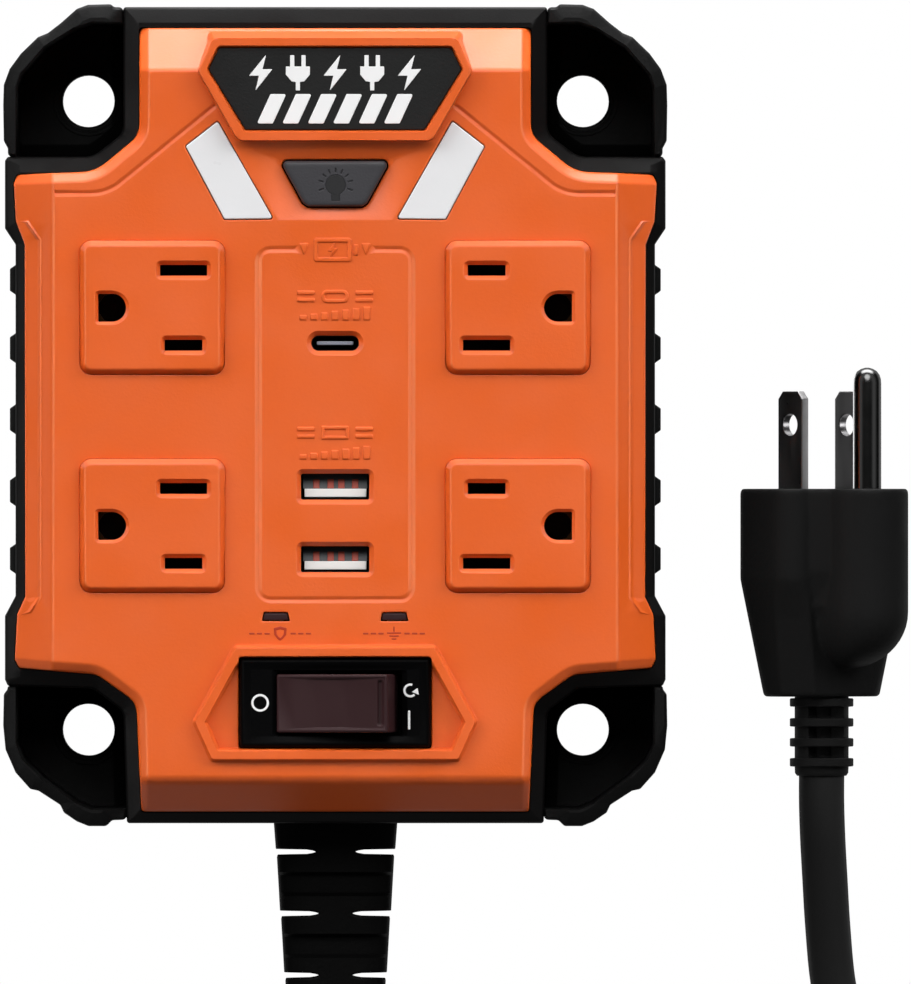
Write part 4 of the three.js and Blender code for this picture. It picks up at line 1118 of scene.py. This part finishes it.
def rocker():
    """The rocker in its own frame: a shallow hollow between two raised ends, tilted to the off side."""
    def top(xy):
        return 5.5 + np.interp(np.abs(xy[:, 0]), [3, 9.3], [0, 0.5])

    def under(xy, height):
        return np.interp(np.abs(xy[:, 0]), [0, 4, 9.3], [-5, -5, -2])
    body = Relief(rectangle(19.3, 9.9, 0.35, 0.3), top)
    body.ring(body.outline, [(0, -0.35), (0.06, -0.16), (0.2, -0.03), (0.4, 0)])
    for x in (-6, -4.4, -3.4, -2.6, -1.5, 0, 1.5, 2.6, 3.4, 4.4, 6):
        body.paths.append([(x, -4), (x, 4)])
    slot = rectangle(1.15, 7.8, 0.55, 8.65, 0.1)
    body.ring(slot, [(-0.12, 0), (0.0, -0.05), (0.25, -0.42), (0.45, -0.48)])
    made = body.shell(under)
    place = Matrix.Translation([v * MM for v in ROCKER_PIVOT]) @ Matrix.Rotation(-OFF_TILT, 4, "Y")
    piece(mesh_object("rocker_cap", [made], SMOKE, place=place), "rocker_body", "smoke", "rocker")


switch()
rocker()


# ---------------------------------------------------------------- strain relief at the box
def box_relief():
    """A flat rubber boot with pointed slits from both sides and a sunken band round each segment."""
    root, end, middle, half_thick, pitch = -69.6, -116.5, 17.0, 6.0, 10.5
    band_steps = (3.4, 3.7, 4.0, 6.9, 7.2, 7.5)   # from a slit to where the next sunken band's height changes

    def half(y):
        return np.interp(-y, [-root, -end], [10.5, 7.3])
    right = [(half(root + 4.5), root + 4.5), (half(root), root)]
    slits = [root - 4.7 - pitch * k for k in range(4)]
    for y in slits:
        edge = half(y)
        tip = 3.1 if y == slits[0] else 2.6
        right += [(edge, y + 0.5), (tip + 1.8, y + 0.42), (tip + 0.8, y + 0.26), (tip, y),
                  (tip + 0.8, y - 0.26), (tip + 1.8, y - 0.42), (edge - 0.3, y - 0.5), (edge - 0.2, y - 0.9)]
    right.append((half(end), end))
    outline = right + [(-x, y) for x, y in reversed(right)]

    def top(xy):
        share = np.clip(np.abs(xy[:, 0]) / (half(xy[:, 1]) + 0.01), 0, 1)
        crown = np.maximum((1 - share ** 4) ** 0.25, 0.2)
        phase = np.mod(slits[0] - xy[:, 1], pitch)
        dip = np.interp(phase, band_steps, [0, 0.7, 1.4, 1.4, 0.7, 0])
        dip = np.where(xy[:, 1] < slits[0], dip, 0)
        return middle + half_thick * crown - dip
    boot = Relief(Outline(outline, 0.12, 2), top)
    for share in (-0.97, -0.9, -0.8, -0.6, -0.3, 0, 0.3, 0.6, 0.8, 0.9, 0.97):
        boot.paths.append([(share * half(y), y) for y in np.linspace(root + 4, end + 0.3, 12)])
    for k in range(-1, 4):
        for step in band_steps:
            y = slits[0] - pitch * k - step
            if slits[0] > y > end:
                boot.paths.append([(-half(y) + 0.05, y), (half(y) - 0.05, y)])
    for y in slits:
        for side in (-1, 1):
            for away in (0.75, 0.95):
                reach = [(side * (half(y) - 0.1), y + away), (side * 4.5, y + away)]
                boot.paths.append(reach)
                boot.paths.append([(x, 2 * y - py) for x, py in reach])
    boot.edge(0.3, 3)
    rubber = boot.build("box_relief", lambda xy, height: 2 * middle - height, BOOT_BLACK)
    return piece(rubber, "strip", "cord_black", "cord_strain_relief")


box_relief()


# ---------------------------------------------------------------- the plug
PLUG_FRAME = Matrix.Translation(PLUG * MM) @ Matrix.Rotation(PLUG_ROLL, 4, "Y")


def loft(sections):
    """A closed shell through rings of the same number of points."""
    count = len(sections[0])
    verts = [tuple(c * MM for c in p) for ring in sections for p in ring]
    faces = []
    for k in range(len(sections) - 1):
        for i in range(count):
            j = (i + 1) % count
            faces.append((k * count + i, k * count + j, (k + 1) * count + j, (k + 1) * count + i))
    faces.append(tuple(range(count))[::-1])
    faces.append(tuple((len(sections) - 1) * count + i for i in range(count)))
    return verts, faces


def body_section(y, share, flat=0.0):
    """A rounded rectangle round the plug; two of its corners turn into flat bevels as flat goes to 1."""
    line = np.array(rectangle(28 * share, 15.2 * share, 4.2, steps=8).at())
    for first in range(0, len(line), 9):
        corner = line[first:first + 9]
        if corner[4][0] * corner[4][1] < 0:
            corner += flat * (np.linspace(corner[0], corner[8], 9) - corner)
    return [(x, y, z) for x, z in line]


def arch_section(y, share):
    """A tall arch over the pin, shrunk by share towards the plug's upper face."""
    line = [(7 * math.cos(t), PIN_RISE + 7 * math.sin(t)) for t in np.linspace(0, math.pi, 25)]
    line += [(-7, 3.0), (7, 3.0)]
    return [(x * share, y, 6.6 + (z - 6.6) * share) for x, z in line]


def merged(obj, voxel, rounds):
    """The object's overlapping shells made into one skin and softened, kept as plain mesh."""
    skin = obj.modifiers.new("skin", "REMESH")
    skin.mode = "VOXEL"
    skin.voxel_size = voxel * MM
    soften = obj.modifiers.new("soften", "SMOOTH")
    soften.factor = 0.5
    soften.iterations = rounds
    bpy.context.view_layer.update()
    plain = bpy.data.meshes.new_from_object(obj.evaluated_get(bpy.context.evaluated_depsgraph_get()))
    obj.modifiers.clear()
    old = obj.data
    obj.data = plain
    bpy.data.meshes.remove(old)
    plain.polygons.foreach_set("use_smooth", [True] * len(plain.polygons))
    return obj


def plug_body():
    """The moulded body: a rolled block that tapers to the cord, with a rounded rise over the ground pin."""
    block = [body_section(*section) for section in (
        (0, 0.975), (-0.35, 0.995), (-0.8, 1.0), (-15.3, 1.0), (-15.9, 0.994, 0.05), (-22.0, 0.915, 1.0),
        (-35.0, 0.748, 1.0), (-35.4, 0.72, 1.0))]
    rise = [arch_section(y, share) for y, share in ((0, 0.975), (-0.4, 0.995), (-0.9, 1.0))]
    for t in np.linspace(0, math.pi / 2, 13):
        rise.append(arch_section(-21 - 9.6 * math.sin(t), max(math.cos(t), 0.06)))
    neck = []
    for y, low, high in ((0, 9.6, 6.5), (-0.6, 9.9, 6.8), (-14.0, 9.9, 6.8), (-20.0, 8.2, 6.4),
                         (-25.0, 5.5, 4.0)):
        line = [(-low, 3.0), (low, 3.0), (low, 7.0), (high, 11.0), (-high, 11.0), (-low, 7.0)]
        neck.append([(x, y, z) for x, z in line])
    shells = [loft(block), loft(rise), loft(neck)]
    body = mesh_object("plug_moulding", shells, PLUG_BLACK, place=PLUG_FRAME)
    merged(body, 0.33, 4)
    return piece(body, "strip", "cord_black", "plug_body")


def plug_relief():
    """The ribbed tail: rings on a core with windows between them."""
    turn = full_turn(72)

    def window(t):
        return 2.5 if abs(math.cos(t - math.radians(116))) > math.cos(math.radians(39)) else 0
    sections = [[(3.0 * math.cos(t), -34.0, 3.0 * math.sin(t)) for t in turn]]
    stations = [(-34.6, 4.6, 0)]
    for k in range(4):
        ring = -36.4 - 3.4 * k
        stations += [(ring + 0.75, 4.6, 0), (ring + 0.7, 5.3, 0), (ring + 0.55, 5.42, 0),
                     (ring - 0.55, 5.42, 0), (ring - 0.7, 5.3, 0), (ring - 0.75, 4.6, 0)]
        if k < 3:
            stations += [(ring - 0.85, 4.6, 1), (ring - 2.6, 4.6, 1)]
    stations += [(-48.4, 4.55, 0), (-48.9, 4.2, 0)]
    for y, r, cut in stations:
        reaches = [r - cut * window(t) for t in turn]
        sections.append([(reach * math.cos(t), y, reach * math.sin(t)) for reach, t in zip(reaches, turn)])
    tail = mesh_object("plug_tail", [loft(sections)], PLUG_BLACK, place=PLUG_FRAME)
    return piece(tail, "strip", "cord_black")


def plug_blade(label, x):
    """A flat blade with bevelled tip corners and a round hole."""
    tip = 16.6
    face = [(-3.17, -1.0), (3.17, -1.0), (3.17, tip - 1.3), (2.0, tip), (-2.0, tip), (-3.17, tip - 1.3)]
    blade = Relief(Outline(face, 0.25, 3), 0.76).edge(0.22, 3)
    blade.hole(circle(1.85, 0, tip - 5.7, 28), 0.15, 2)
    made = blade.shell(lambda xy, height: -height)
    place = PLUG_FRAME @ Matrix.Translation((x * MM, 0, 0)) @ Matrix.Rotation(math.pi / 2, 4, "Y")
    blade = mesh_object(f"plug_metal_{label}", [made], BLADE_STEEL, place=place)
    piece(blade, "strip", "plated_steel", f"plug_blade_{label}")


def plug_pin():
    """The round ground pin with a blunt tip, split by a fine seam along its lower side."""
    def seam(t):
        return 0.93 if abs(t - 1.5 * math.pi) < 0.1 else 1
    line = [(-1, 2.4), (17.9, 2.4), (18.7, 2.34), (19.4, 2.1), (20.0, 1.65), (20.4, 1.0), (20.6, 0.3)]
    sections = [[(r * math.cos(t) * seam(t), y, PIN_RISE + r * math.sin(t) * seam(t)) for t in full_turn(48)]
                for y, r in line]
    pin = mesh_object("plug_pin", [loft(sections[::-1])], PIN_STEEL, place=PLUG_FRAME)
    return piece(pin, "strip", "plated_steel", "plug_ground_pin")


plug_body()
plug_relief()
for label, side in SIDES:
    plug_blade(label, side * BLADE_X)
plug_pin()


# ---------------------------------------------------------------- the coil's tie
def coil_tie():
    """A woven strap round the coil's near side, with its loose end lapped over the top."""
    out, up = 46.85, 9.6   # the middle of the strap's section, from the coil's centre and from the floor

    def ring(reach, height, corner):
        return rectangle(reach, height, corner, out, up, 5).at()
    outer, inner = ring(27.3, 18.6, 6.0), ring(25.3, 16.8, 5.2)
    count = len(outer)
    verts, faces = [], []
    for y, shrink in ((-6.0, 0.15), (-5.8, 0.0), (5.8, 0.0), (6.0, 0.15)):
        for line, sign_of in ((outer, 1), (inner, -1)):
            for r, z in line:
                scale = 1 - sign_of * shrink / 12
                verts.append((y * MM, -(out + (r - out) * scale) * MM, (up + (z - up) * scale) * MM))
    for k in range(3):
        for i in range(count):
            j = (i + 1) % count
            a, b = k * 2 * count, (k + 1) * 2 * count
            faces.append((a + i, a + j, b + j, b + i))
            faces.append((b + count + i, b + count + j, a + count + j, a + count + i))
    for i in range(count):
        j = (i + 1) % count
        faces.append((count + i, count + j, j, i))
        last = 6 * count
        faces.append((last + i, last + j, last + count + j, last + count + i))
    lap = Relief(rectangle(11.4, 14.0, 1.5, 0, -45.0), 19.3).edge(0.3, 3)
    for k in range(9):
        lap.ring(rectangle(10.4, 0.5, 0.2, 0, -51.0 + 1.5 * k, 2), [(0, 0), (0.15, -0.15)])
    strap = mesh_object("coil_strap", [(verts, faces), lap.shell(18.85)], TIE_BLACK,
                        place=Matrix.Translation((COIL_CENTRE[0] * MM, COIL_CENTRE[1] * MM, 0)))
    return piece(strap, "strip", "tie_black", "coil_tie")


coil_tie()


# ---------------------------------------------------------------- lights that only some pieces see
def only_for(light, targets, blocked=True):
    """Keeps a light to the objects it is meant for; unblocked, nothing casts a shadow in it."""
    receivers = bpy.data.collections.new(f"{light.name}_receivers")
    for obj in targets:
        receivers.objects.link(obj)
    light.light_linking.receiver_collection = receivers
    if not blocked:
        blockers = bpy.data.collections.new(f"{light.name}_blockers")
        blockers.objects.link(bpy.data.objects["floor"])
        light.light_linking.blocker_collection = blockers


def glint(name, towards, strength, angle, targets, colour=(1, 1, 1), blocked=True):
    """A light that only shows as shine."""
    shine = sun(name, towards, strength, angle, glint=True)
    shine.visible_diffuse = False
    shine.data.color = colour
    only_for(shine, targets, blocked)


def glints():
    """Shine along the orange mouldings' edges, on the black rims and on the plug's metal."""
    def made_of(*materials):
        names = {material.name for material in materials}
        meshes = [obj for obj in bpy.data.objects if obj.type == "MESH"]
        return [obj for obj in meshes if names & set(obj.data.materials.keys())]
    orange = made_of(ORANGE)
    blades = [bpy.data.objects[name] for name in ("plug_metal_left", "plug_metal_right")]
    pin = [bpy.data.objects["plug_pin"]]
    warm = (1.0, 0.95, 0.55)
    for label, side in SIDES:
        glint(f"edge_glint_{label}", (side * 0.64, 0.0, 0.77), 0.9, 24, orange, warm)
    glint("edge_glint_far", (0.0, 0.95, 0.31), 0.6, 40, orange, (1.0, 0.95, 0.7))
    glint("rim_glint_left", (-0.74, 0.0, 0.67), 0.6, 40, made_of(RUBBER, HOUSING_BLACK))
    glint("blade_glint", (0.985, 0.0, 0.174), 0.6, 26, blades, blocked=False)
    glint("blade_face_glint", (-0.985, 0.0, -0.173), 0.1, 60, blades, blocked=False)
    glint("pin_glint", (-0.5, 0.05, -0.87), 0.6, 30, pin, blocked=False)
    only_for(sun("plug_fill", (-0.75, 0.2, 0.63), 0.8, 30), made_of(PLUG_BLACK), blocked=False)


glints()
